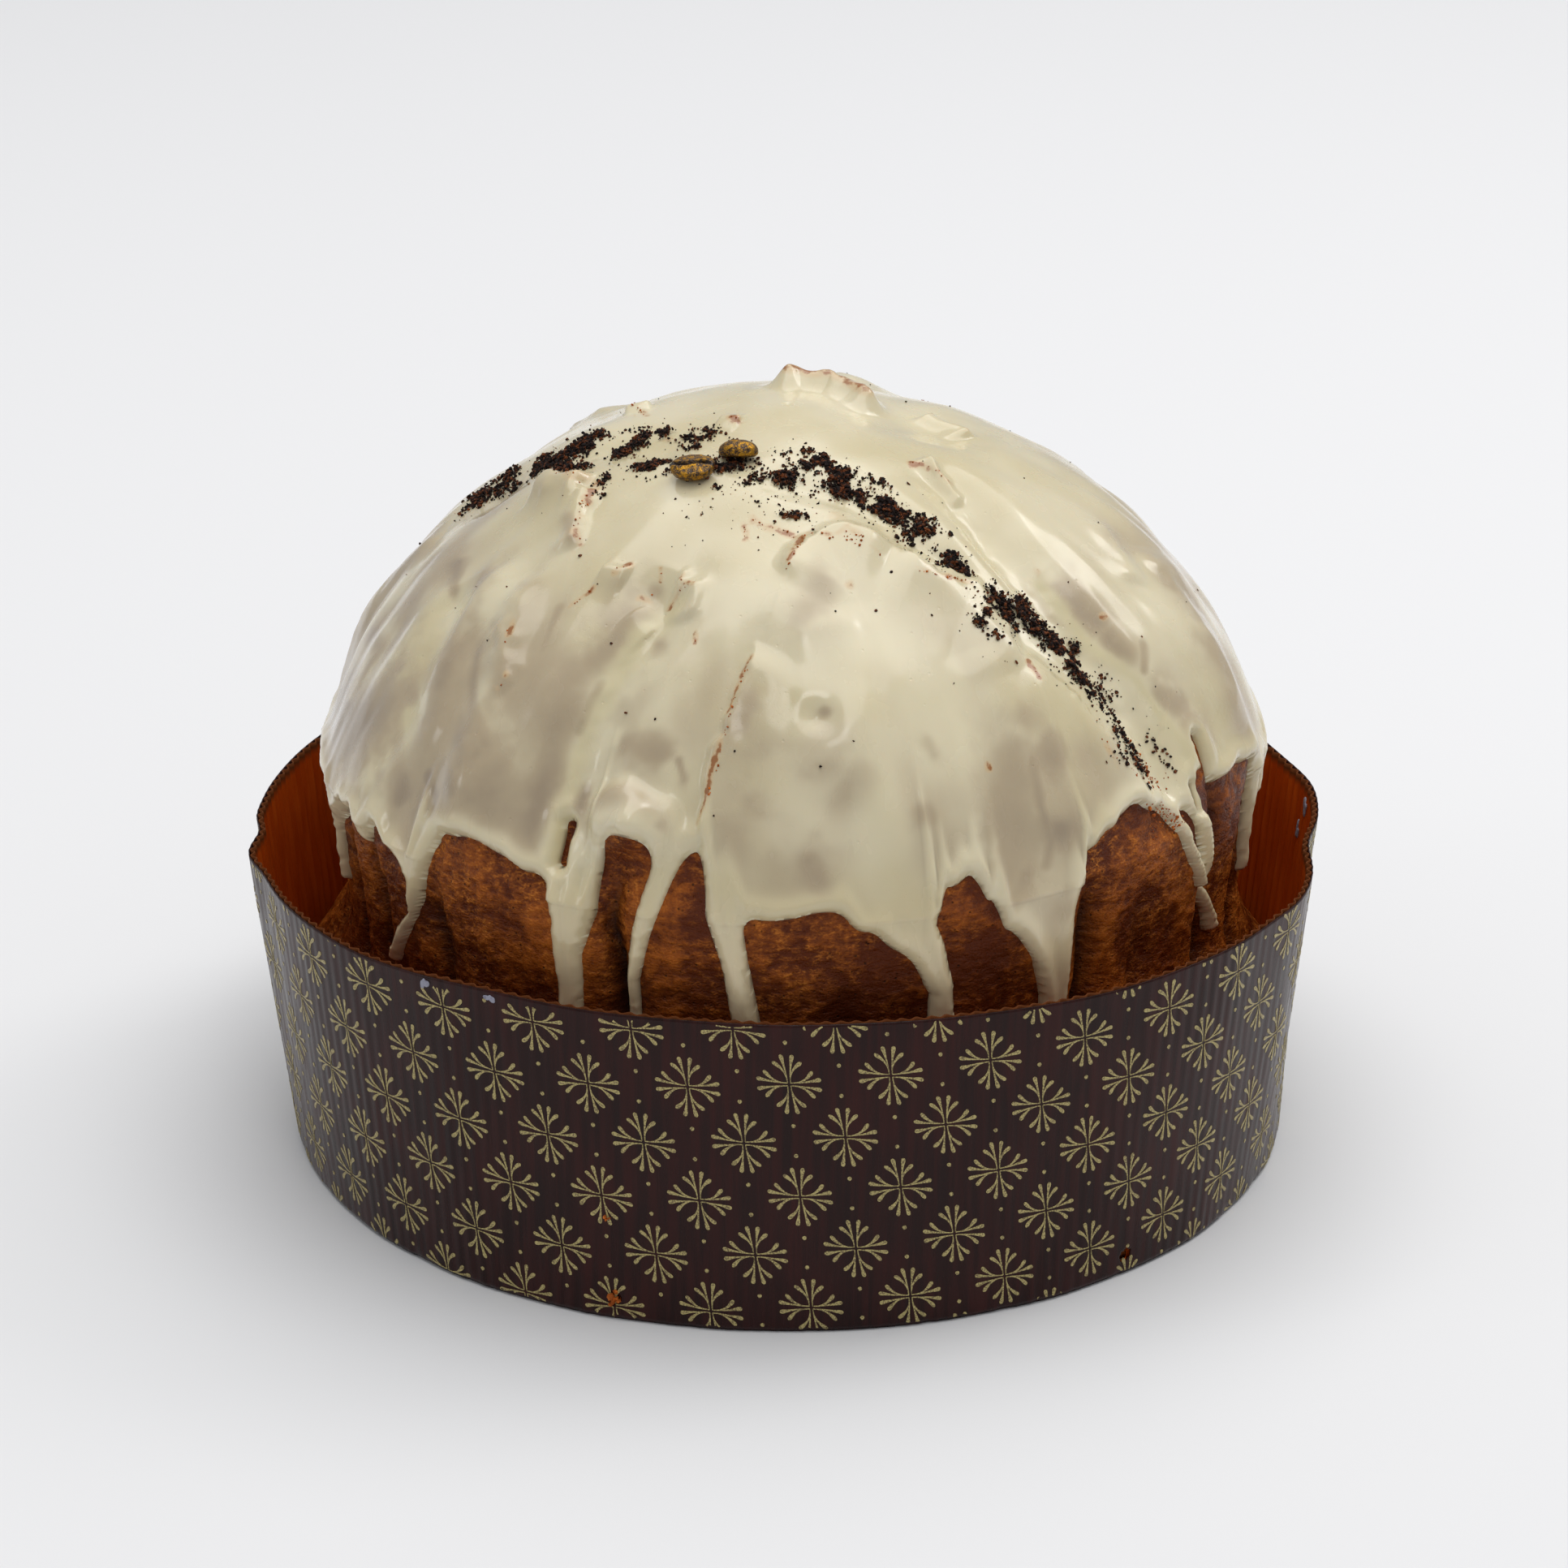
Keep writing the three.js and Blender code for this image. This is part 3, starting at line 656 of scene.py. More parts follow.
def fold_relief(fold: Fold, x: Array, y: Array, wobble: Array, slow: Array) -> tuple[Array, Array]:
    """Work out one fold's lift and bareness.

    Args:
        fold: The fold.
        x: X positions.
        y: Y positions.
        wobble: Noise that bends and breaks the fold.
        slow: Broad noise that varies its height.

    Returns:
        Lift in millimetres and bareness from 0 to 1.
    """
    gap, share = along_path(x, y, fold.path)
    gap = gap + 1.3 * wobble * np.exp(-((gap / 3.5) ** 2))
    width = np.where(gap < 0, fold.left, fold.right)
    ends = smooth(0.0, 0.2, share + 0.03) * smooth(0.0, 0.2, 1.03 - share)
    height = fold.height * (1.0 + 0.4 * slow) * ends
    lift = height * np.exp(-((gap / width) ** 2))
    steep = -0.6 if fold.left < fold.right else 0.6
    broken = smooth(-0.5, 0.1, wobble + 0.5 * slow)
    narrow = np.exp(-(((gap - steep) / 0.8) ** 2)) * ends * broken
    return lift, fold.bare * narrow


def relief(azimuth: Array, x: Array, y: Array, z: Array) -> Relief:
    """Work out the dome's and crust's coarse relief.

    Args:
        azimuth: Azimuths.
        x: X positions.
        y: Y positions.
        z: Heights.

    Returns:
        The relief at every point.
    """
    lift = np.zeros(np.shape(z))
    bare = np.zeros(np.shape(z))
    shade = np.zeros(np.shape(z))
    bend = MEDIUM.at(x, y, z, 9.0)
    for crease in CREASES:
        across = (wrap(azimuth - crease.azimuth) * SIDE_SCALE + 1.3 * bend) / crease.half
        fade = smooth(crease.low, crease.low + CREASE_RISE, z)
        fade = fade * (1 - smooth(crease.high - CREASE_FADE, crease.high, z))
        cut = np.exp(-np.abs(across) ** 1.5) * fade
        lift -= crease.depth * cut
        shade = np.maximum(shade, cut * min(1.0, crease.depth / 3.2))
    lobes = 0.9 * np.cos(np.radians(3 * azimuth + 40)) + 0.7 * np.cos(np.radians(5 * azimuth - 70))
    lift += lobes * smooth(*LOBES_RISE, z) * (1 - smooth(*LOBES_FADE, z))
    on_dome = smooth(*FOLDS_RISE, z)
    wobble = SMALL.layered(x, y, z, 4.5, 2)
    slow = MEDIUM.at(x, y, z, 15.0)
    for fold in FOLDS:
        rise, opened = fold_relief(fold, x, y, wobble, slow)
        lift += rise * on_dome
        bare = np.maximum(bare, opened * on_dome)
    rise, _ = fold_relief(CROWN_FLAP, x, y, 0.5 * wobble, np.zeros(np.shape(z)))
    on_crown = smooth(*FLAP_RISE, z)
    jag = 1.0 + 0.11 * np.sin(x * 0.8 + 1.4) + 0.08 * MEDIUM.at(x, y, z, 7.0)
    lift += rise * jag * on_crown
    bare = np.maximum(bare, 0.8 * smooth(0.4, 1.0, rise / CROWN_FLAP.height) * on_crown)
    for swell in SWELLS:
        cx, cy, cz = swell.centre
        apart = ((x - cx) ** 2 + (y - cy) ** 2 + (z - cz) ** 2) / swell.radius**2
        near = np.exp(-(apart**swell.flat))
        lift += swell.height * near
        bare = np.maximum(bare, swell.bare * near)
    return Relief(lift, bare, shade)


def side_radius(azimuth: Array, z: Array) -> Array:
    """Give the plain crust radius below the dome.

    Args:
        azimuth: Azimuths.
        z: Heights.

    Returns:
        Radii.
    """
    fill = wall_radius(azimuth, np.minimum(z, FILL_HEIGHT)) - PAPER - CLEARANCE
    neck = fill + (NECK_RADIUS - fill) * smooth(FILL_HEIGHT, NECK_HEIGHT, z)
    return neck + (BULGE_RADIUS - NECK_RADIUS) * smooth(NECK_HEIGHT, DOME_START + 6, z)


def plain_surface(azimuth: Array, way: Array) -> tuple[Array, Array, Array, Array]:
    """Give the loaf's plain surface.

    Args:
        azimuth: Azimuths.
        way: Way up the surface: -1 at the foot, 0 where the dome starts, 1 at the crown.

    Returns:
        Radius, height, and the outward direction's radial and upward parts.
    """
    low_z = DOME_START + way * (DOME_START - FOOT_HEIGHT)
    z_side = np.minimum(low_z, DOME_START)
    r_side = side_radius(azimuth, z_side)
    slope = side_radius(azimuth, z_side + 0.5) - side_radius(azimuth, z_side - 0.5)
    angle = np.radians(DOME_START_ANGLE) * (1.0 - np.clip(way, 0.0, 1.0))
    r_dome = DOME_RADIUS * np.sin(angle)
    z_dome = DOME_CENTRE + DOME_RISE * np.cos(angle)
    n_r = np.sin(angle) / DOME_RADIUS
    n_z = np.cos(angle) / DOME_RISE
    size = np.hypot(n_r, n_z)
    blend = smooth(TURN_HEIGHT, DOME_START, z_side)
    tilt = -slope * (1 - blend) * (z_side > TILT_HEIGHT) + (n_z / size) * blend
    level = np.sqrt(np.maximum(1 - tilt**2, 0.1))
    dome = way > 0
    radius = np.where(dome, r_dome, r_side)
    height = np.where(dome, z_dome, z_side)
    return radius, height, np.where(dome, n_r / size, level), np.where(dome, n_z / size, tilt)


def crown_lift() -> Array:
    """Give the relief's lift at the very top."""
    zero = np.zeros(1)
    return relief(zero, zero, zero, zero + CROWN_HEIGHT).lift


def crust_detail(x: Array, y: Array, z: Array) -> Array:
    """Give the crust's fine wrinkles, which end well under the glaze.

    Args:
        x: X positions.
        y: Y positions.
        z: Heights.

    Returns:
        Lift.
    """
    lumps = 0.55 * LARGE.layered(x, y, z, 12.0, 2)
    crepe = 1.0 - np.abs(SMALL.layered(x, y, z, 5.2, 3))
    fine = 1.0 - np.abs(MEDIUM.layered(x, y, z * 0.8, 2.8, 2))
    wrinkles = lumps + 0.5 * (crepe**2 - 0.5) + 0.26 * (fine**2 - 0.5)
    return wrinkles * smooth(*DETAIL_RISE, z) * (1 - smooth(*DETAIL_FADE, z))


def moved(azimuth: Array, way: Array, offset: Array) -> Array:
    """Move the plain surface outwards.

    Args:
        azimuth: Azimuths.
        way: Way up the surface.
        offset: Distance outwards in millimetres.

    Returns:
        Points.
    """
    radius, height, n_r, n_z = plain_surface(azimuth, way)
    return around(azimuth, radius + n_r * offset, height + n_z * offset)


# ---- loaf and glaze ----


# Lower edge of the glaze between the drips: azimuth and height.
EDGE = (
    (-180, 88), (-166, 80), (-154, 90), (-142, 84), (-128, 92), (-116, 80), (-104, 84),
    (-94, 82), (-86, 84), (-77, 83), (-73, 78), (-67, 84), (-64, 85), (-61, 82), (-57.5, 86),
    (-54, 82), (-50, 80), (-47.5, 88), (-44, 91), (-41, 92), (-36, 90), (-32, 88.5), (-28, 88),
    (-24.5, 92), (-23.4, 97.5), (-18.5, 98), (-14, 96.5), (-10.8, 97), (-8.4, 91), (-4.5, 85.5),
    (-1, 85), (5, 86), (9, 82), (13, 77.5), (15.5, 76), (17.2, 85), (19, 89), (21.5, 91),
    (24, 86), (26.5, 79), (30, 76), (34, 78), (36.8, 84), (38.5, 90), (42, 93), (46, 95),
    (52, 92.5), (55, 90), (59, 90), (62, 95), (66, 90), (70, 90), (75, 89), (80, 84), (86, 83),
    (96, 87), (108, 92), (120, 82), (132, 90), (146, 84), (158, 92), (170, 82),
)

# How softly a drip joins the edge.
DRIP_FILLET = 3.2

# Runs of glaze: azimuth, height and half width at the points of each path.
DRIPS = (
    ((-72.5, 86, 2.0), (-74.5, 74, 1.2), (-74.5, 64, 1.3)),
    ((-62, 88, 3.0), (-61, 82, 1.6)),
    ((-47.8, 90, 4.0), (-49.8, 78, 2.3), (-51.6, 70.5, 1.1), (-54.2, 65, 1.7), (-57.2, 57.5, 1.7)),
    ((-27.5, 94, 5.0), (-26.5, 80, 3.4), (-26.6, 66, 2.9), (-27.2, 50, 3.1)),
    ((-23.0, 99, 1.4), (-23.2, 91, 1.5), (-24, 84, 2.2), (-25.4, 78, 2.0)),
    (
        (-13.2, 102, 4.2), (-14.9, 92, 2.5), (-17.2, 80, 2.0),
        (-18.6, 70, 1.7), (-18.9, 60, 2.1), (-19.3, 53, 2.1),
    ),
    ((-8.0, 96, 3.0), (-7.4, 86, 3.6), (-6.2, 76, 2.8), (-4.9, 62, 2.9), (-4.6, 54, 3.1)),
    ((13, 86, 5.0), (16.2, 77, 3.6), (18.2, 68, 2.7), (18.6, 53, 3.1)),
    ((32, 92, 8.5), (31.6, 82, 8.2), (33.2, 72, 5.4), (34.0, 62, 3.7), (34.2, 53, 3.2)),
    ((54.0, 94, 2.0), (56.5, 84, 1.3), (59.5, 76, 1.2), (61.5, 71, 1.5)),
    ((58.0, 97, 2.2), (60.5, 84, 1.8), (64, 70, 1.3), (67, 61, 1.3), (68, 57, 1.7)),
    ((80.0, 87, 2.4), (81.0, 74, 1.5), (82, 61, 1.5)),
    ((85.0, 88, 2.4), (85.0, 76, 1.6)),
    ((103, 92, 4.0), (103.6, 76, 2.2), (103, 61, 2.3)),
    ((121, 88, 5.0), (123.6, 74, 3.0), (124, 56, 2.9)),
    ((144, 88, 3.5), (147, 76, 2.0), (148.6, 68, 2.1)),
    ((169, 86, 5.5), (171, 70, 3.2), (171, 54, 3.1)),
    ((-164, 84, 3.5), (-162.6, 72, 2.1), (-163, 64, 2.1)),
    ((-139, 88, 4.5), (-138, 72, 3.0), (-138.4, 56, 2.8)),
    ((-114, 86, 3.6), (-112, 76, 2.0), (-111.5, 66, 2.1)),
    ((-93, 86, 3.0), (-92.6, 76, 1.8), (-93, 68, 1.8)),
)

# Bare spots inside the glaze: azimuth, lower and upper height, half width.
WINDOWS = ((-28.2, 91.5, 98.5, 0.75), (59.6, 88, 93, 0.6), (63.4, 89, 100, 1.1))


def glaze_reach(azimuth: Array, z: Array) -> Array:
    """Measure how far inside the glaze a point lies.

    Args:
        azimuth: Azimuths.
        z: Heights.

    Returns:
        Distances in millimetres, negative outside the glaze.
    """
    table = np.array(EDGE)
    order = np.concatenate([table[-1:] - (360, 0), table, table[:1] + (360, 0)])
    angle = wrap(azimuth)
    k = np.clip(np.searchsorted(order[:, 0], angle, side="right") - 1, 0, len(order) - 2)
    a0, z0 = order[k, 0], order[k, 1]
    a1, z1 = order[k + 1, 0], order[k + 1, 1]
    t = (angle - a0) / (a1 - a0)
    edge = z0 + (z1 - z0) * t * t * (3 - 2 * t)
    slope = (z1 - z0) * 6 * t * (1 - t) / ((a1 - a0) * SIDE_SCALE)
    ragged = 0.7 * MEDIUM.at(azimuth * SIDE_SCALE, z, 0 * z, 5.0)
    reach = (z - edge) / np.sqrt(1 + slope**2) + ragged
    for path in DRIPS:
        run = np.full(np.shape(z), -1e3)
        for (a, za, ra), (b, zb, rb) in zip(path, path[1:]):
            x = wrap(azimuth - a) * SIDE_SCALE
            dx, dz = (b - a) * SIDE_SCALE, zb - za
            share = np.clip((x * dx + (z - za) * dz) / (dx * dx + dz * dz), 0.0, 1.0)
            gap = np.hypot(x - share * dx, z - za - share * dz)
            run = np.maximum(run, ra + (rb - ra) * share - gap)
        reach = soft_max(reach, run, DRIP_FILLET)
    for centre, low, high, half in WINDOWS:
        x = wrap(azimuth - centre) * SIDE_SCALE + 0.5 * ragged
        gap = np.hypot(x, z - np.clip(z, low, high))
        reach = np.minimum(reach, gap - half)
    return reach


@dataclass
class Loaf:
    """The baked loaf: one piece of bread with its crust."""

    columns: int = 760
    side_rows: int = 190
    crown_rows: int = 36
    side_end: float = 0.32
    crown_start: float = 0.345
    crown_end: float = 0.985
    foot_rings: tuple[float, float] = (0.3, 0.985)
    foot_drop: float = 0.2

    def build(self) -> None:
        """Make the loaf's closed mesh."""
        side_way = np.linspace(-1.0, self.side_end, self.side_rows)
        crown_way = np.linspace(self.crown_start, self.crown_end, self.crown_rows)
        way = np.concatenate([side_way, crown_way])
        azimuth = np.linspace(-180.0, 180.0, self.columns, endpoint=False)
        a, w = np.meshgrid(azimuth, way)
        x, y, z = np.moveaxis(moved(a, w, 0.0), -1, 0)
        form = relief(a, x, y, z)
        fine = crust_detail(x, y, z)
        floor = FOOT_HEIGHT - self.foot_drop
        foot_radius = side_radius(azimuth, np.full(self.columns, FOOT_HEIGHT))
        foot = np.stack([around(azimuth, foot_radius * share, floor) for share in self.foot_rings])
        grid = np.concatenate([foot, moved(a, w, form.lift + fine)])
        crown = moved(np.zeros(1), np.ones(1), crown_lift())
        points = np.concatenate([grid.reshape(-1, 3), [(0.0, 0.0, floor)], crown])
        rows = len(grid)
        tip = rows * self.columns
        faces = [
            ring_faces(rows, self.columns),
            fan_faces(tip, 0, self.columns, below=True),
            fan_faces(tip + 1, tip - self.columns, self.columns),
        ]
        marks = {"fold_shade": self.padded(form.shade), "wrinkle": self.padded(fine)}
        self.piece = build_mesh("loaf_crust", Shape(points, faces, marks))

    def padded(self, values: Array) -> Array:
        """Add zeros to a mark for the foot's rings and for both ends.

        Args:
            values: Marks of the grid above the foot.

        Returns:
            Marks of all points.
        """
        return np.concatenate([np.zeros(2 * self.columns), values.reshape(-1), np.zeros(2)])

    def dress(self, finishes: "Finishes") -> list[bpy.types.Object]:
        """Give the loaf its crust.

        Args:
            finishes: All finishes.

        Returns:
            The dressed piece.
        """
        return [dressed(self.piece, finishes.crust, Slot.CRUST, "loaf")]


def glaze_lift(
    a: Array, x: Array, y: Array, z: Array, reach: Array, form: Relief
) -> tuple[Array, Array]:
    """Work out the glaze's outer lift and its thin places.

    Args:
        a: Azimuths.
        x: X positions.
        y: Y positions.
        z: Heights.
        reach: Distance inside the edge.
        form: Relief of the loaf.

    Returns:
        Lift of the outer face, and thinness from 0 to 1, which also carries painted shade on the left flank
        and painted light right of the front.
    """
    bead = np.clip(reach / 2.5, 0.0, 1.0)
    round_edge = np.sqrt(1.0 - (1.0 - bead) ** 2)
    low = 1 - smooth(116, 150, z)
    lumps = LARGE.layered(x, y, z, 22.0, 2) + 0.3 * MEDIUM.at(x, y, 0.5 * z, 9.0)
    runs = MEDIUM.at(a * SIDE_SCALE, z * 0.16, 0 * z, 9.0)
    fine_runs = SMALL.at(a * SIDE_SCALE, z * 0.2, 0 * z, 4.2)
    flow = 0.7 * lumps + (0.55 * runs + 0.2 * fine_runs) * low * smooth(0, 10, reach)
    sag = 0.75 * np.exp(-(((reach - 2.2) / 2.0) ** 2)) * low
    ridge = np.clip(form.lift, -3.0, 3.0)
    spread = LARGE.layered(x + 40, y, z * 0.6, 19.0, 3) + 0.2 * ridge - 0.5 * runs * low
    # The icing is drawn thinner on the left flank and thicker right of the front; in colour this paints
    # shade on the left flank and light right of the front.
    flank = 0.62 - 0.26 * bump(a, 30.0, 42.0) + 0.45 * bump(a, -76.0, 24.0)
    thin = flank * smooth(-0.9, 1.1, spread) * (0.15 + 0.85 * low) * smooth(1.2, 7.0, reach)
    full = GLAZE_LIFT + GLAZE_FULL * (1 - 0.3 * thin) + flow + sag
    detail = crust_detail(x, y, z) * (1 - smooth(0.0, 3.0, reach))
    filled = form.lift + 0.45 * form.shade * smooth(2.0, 8.0, reach)
    torn = 0.4 * form.bare * (0.4 + SMALL.layered(x, y, z, 2.8, 2))
    return filled + detail + full * round_edge - 0.2 + torn, thin


@dataclass
class Glaze:
    """The poured icing: one shell with a rounded edge, drips and thin places."""

    columns: int = 960
    rows: int = 340
    lowest_way: float = -0.46
    highest_way: float = 0.992
    snap_reach: float = 0.34
    snap_rounds: int = 3
    label_rounds: int = 400

    def build(self) -> None:
        """Make the glaze's closed mesh."""
        azimuth = np.linspace(-180.0, 180.0, self.columns, endpoint=False)
        way = np.linspace(self.lowest_way, self.highest_way, self.rows)
        a, w = self.snapped(*np.meshgrid(azimuth, way))
        x, y, z = np.moveaxis(moved(a, w, 0.0), -1, 0)
        reach = glaze_reach(a, z)
        reach = np.where(np.abs(reach) < 0.03, 0.0, reach)
        form = relief(a, x, y, z)
        lift, thin = glaze_lift(a, x, y, z, reach, form)
        outer = moved(a, w, lift)
        under = moved(a, w, form.lift - GLAZE_UNDER)
        wobble = 1.5 * MEDIUM.layered(x, y, z, 5.0, 3)
        frayed = SMALL.layered(x, y, z, 2.2, 2)
        # The veils darken the thin mark: thin glaze over crust, and painted shade on the left flank.
        thin = np.clip(thin + 0.75 * patched(VEILS_AND_SHADE, outer, wobble) * smooth(0.8, 3.5, reach), 0.0, 1.2)
        # The thick patches lighten it: thick glaze, and painted highlights on the front panel and the right
        # flank.
        thin = thin * (1.0 - patched(THICK_AND_HIGHLIGHTS, outer, wobble))
        pooled = patched(POOLS, outer, wobble)
        torn = patched(TORN, outer, frayed, 1.35) * (0.9 + 0.6 * frayed)
        marks = {
            "bare": np.clip(np.maximum(form.bare, torn), 0.0, 1.0),
            "thin": thin * (1 - 0.8 * pooled),
            "pooled": pooled,
            "drip": 1.0 - smooth(66.0, 96.0, z),
        }
        shape = self.closed(outer.reshape(-1, 3), under.reshape(-1, 3), (reach >= 0).reshape(-1), marks)
        self.piece = build_mesh("glaze_shell", shape)

    def snapped(self, a: Array, w: Array) -> tuple[Array, Array]:
        """Move the grid points nearest to the glaze's edge onto it.

        Args:
            a: Azimuths of the grid.
            w: Ways up of the grid.

        Returns:
            The moved azimuths and ways.
        """
        side_length = DOME_START - FOOT_HEIGHT
        dome_length = DOME_RADIUS * math.radians(DOME_START_ANGLE)
        step = 0.05
        for _ in range(self.snap_rounds):
            per_way = np.where(w > 0, dome_length, side_length)
            height = plain_surface(a, w)[1]
            higher = plain_surface(a, w + step / per_way)[1]
            here = glaze_reach(a, height)
            side = (glaze_reach(a + step / SIDE_SCALE, height) - here) / step
            rise = (glaze_reach(a, higher) - here) / step
            size = np.maximum(side**2 + rise**2, 0.15)
            near = np.abs(here) < self.snap_reach
            a = a - np.where(near, here * side / size, 0.0) / SIDE_SCALE
            w = w - np.where(near, here * rise / size, 0.0) / per_way
        return a, w

    def closed(self, outer: Array, under: Array, inside: Array, marks: dict[str, Array]) -> Shape:
        """Close the outer and under faces into one body along the shared edge.

        Args:
            outer: Points of the outer face.
            under: Points of the under face.
            inside: Which points are in the glaze.
            marks: Marks of the grid.

        Returns:
            The closed shape.
        """
        triangles = self.largest(self.triangles(inside), len(outer))
        tip = len(outer)
        cap = fan_faces(tip, tip - self.columns, self.columns)
        triangles = np.concatenate([triangles, cap])
        top, crown = np.ones(1), crown_lift()
        outer = np.concatenate([outer, moved(0 * top, top, crown + GLAZE_FULL)])
        under = np.concatenate([under, moved(0 * top, top, crown - GLAZE_UNDER)])
        count = len(outer)
        pairs = [triangles[:, [0, 1]], triangles[:, [1, 2]], triangles[:, [2, 0]]]
        edges = np.sort(np.concatenate(pairs), 1)
        keys, uses = np.unique(edges[:, 0] * (count + 1) + edges[:, 1], return_counts=True)
        open_keys = keys[uses == 1]
        rim = np.zeros(count, bool)
        rim[open_keys // (count + 1)] = True
        rim[open_keys % (count + 1)] = True
        used = np.zeros(count, bool)
        used[triangles] = True
        below = used & ~rim
        outer_index = np.cumsum(used) - 1
        under_index = np.where(rim, outer_index, np.cumsum(below) - 1 + used.sum())
        points = np.concatenate([outer[used], under[below]])
        faces = np.concatenate([outer_index[triangles], under_index[triangles][:, ::-1]])
        both = {}
        for name, values in marks.items():
            full = np.append(values.reshape(-1), 0.0)
            both[name] = np.concatenate([full[used], full[below]])
        return Shape(points, [faces], both)

    def triangles(self, inside: Array) -> Array:
        """Split the grid's quads so that as many corners as possible stay in the glaze.

        Args:
            inside: Which points are in the glaze.

        Returns:
            The triangles that lie wholly inside.
        """
        quads = ring_faces(self.rows, self.columns)
        flip = inside[quads].sum(1) == 3
        flip &= ~(inside[quads[:, 0]] & inside[quads[:, 2]])
        first = np.where(flip[:, None], quads[:, [0, 1, 3]], quads[:, [0, 1, 2]])
        second = np.where(flip[:, None], quads[:, [1, 2, 3]], quads[:, [0, 2, 3]])
        triangles = np.concatenate([first, second])
        return triangles[inside[triangles].all(1)]

    def largest(self, triangles: Array, count: int) -> Array:
        """Keep only the triangles of the largest connected part, as far as the rounds find it.

        Args:
            triangles: All triangles.
            count: Number of points.

        Returns:
            The triangles of the main body.
        """
        label = np.arange(count)
        for _ in range(self.label_rounds):
            low = label[triangles].min(1)
            new = label.copy()
            for corner in range(3):
                np.minimum.at(new, triangles[:, corner], low)
            new = new[new]
            if (new == label).all():
                break
            label = new
        names, sizes = np.unique(label[triangles[:, 0]], return_counts=True)
        return triangles[label[triangles[:, 0]] == names[sizes.argmax()]]

    def dress(self, finishes: "Finishes") -> list[bpy.types.Object]:
        """Give the glaze its finish.

        Args:
            finishes: All finishes.

        Returns:
            The dressed piece.
        """
        return [dressed(self.piece, finishes.glaze, Slot.GLAZE, "glaze")]


def glaze_top(x: Array, y: Array, lift: Array) -> tuple[Array, Array]:
    """Find the glaze's face above plan points.

    Args:
        x: X positions.
        y: Y positions.
        lift: Further distance outwards.

    Returns:
        The points and the outward directions there.
    """
    azimuth = np.degrees(np.arctan2(x, -y))
    share = np.minimum(np.hypot(x, y) / (DOME_RADIUS + 2.0), 0.97)
    way = 1.0 - np.degrees(np.arcsin(share)) / DOME_START_ANGLE
    a = np.stack([azimuth, azimuth + 0.6, azimuth])
    w = np.stack([way, way, way + 0.006])
    px, py, pz = np.moveaxis(moved(a, w, 0.0), -1, 0)
    well_inside = np.full(pz.shape, 30.0)
    glaze, _ = glaze_lift(a, px, py, pz, well_inside, relief(a, px, py, pz))
    points = moved(a, w, glaze + lift)
    normal = np.cross(points[1] - points[0], points[2] - points[0])
    return points[0], normal / np.linalg.norm(normal, axis=1, keepdims=True)


# ---- paper mould ----


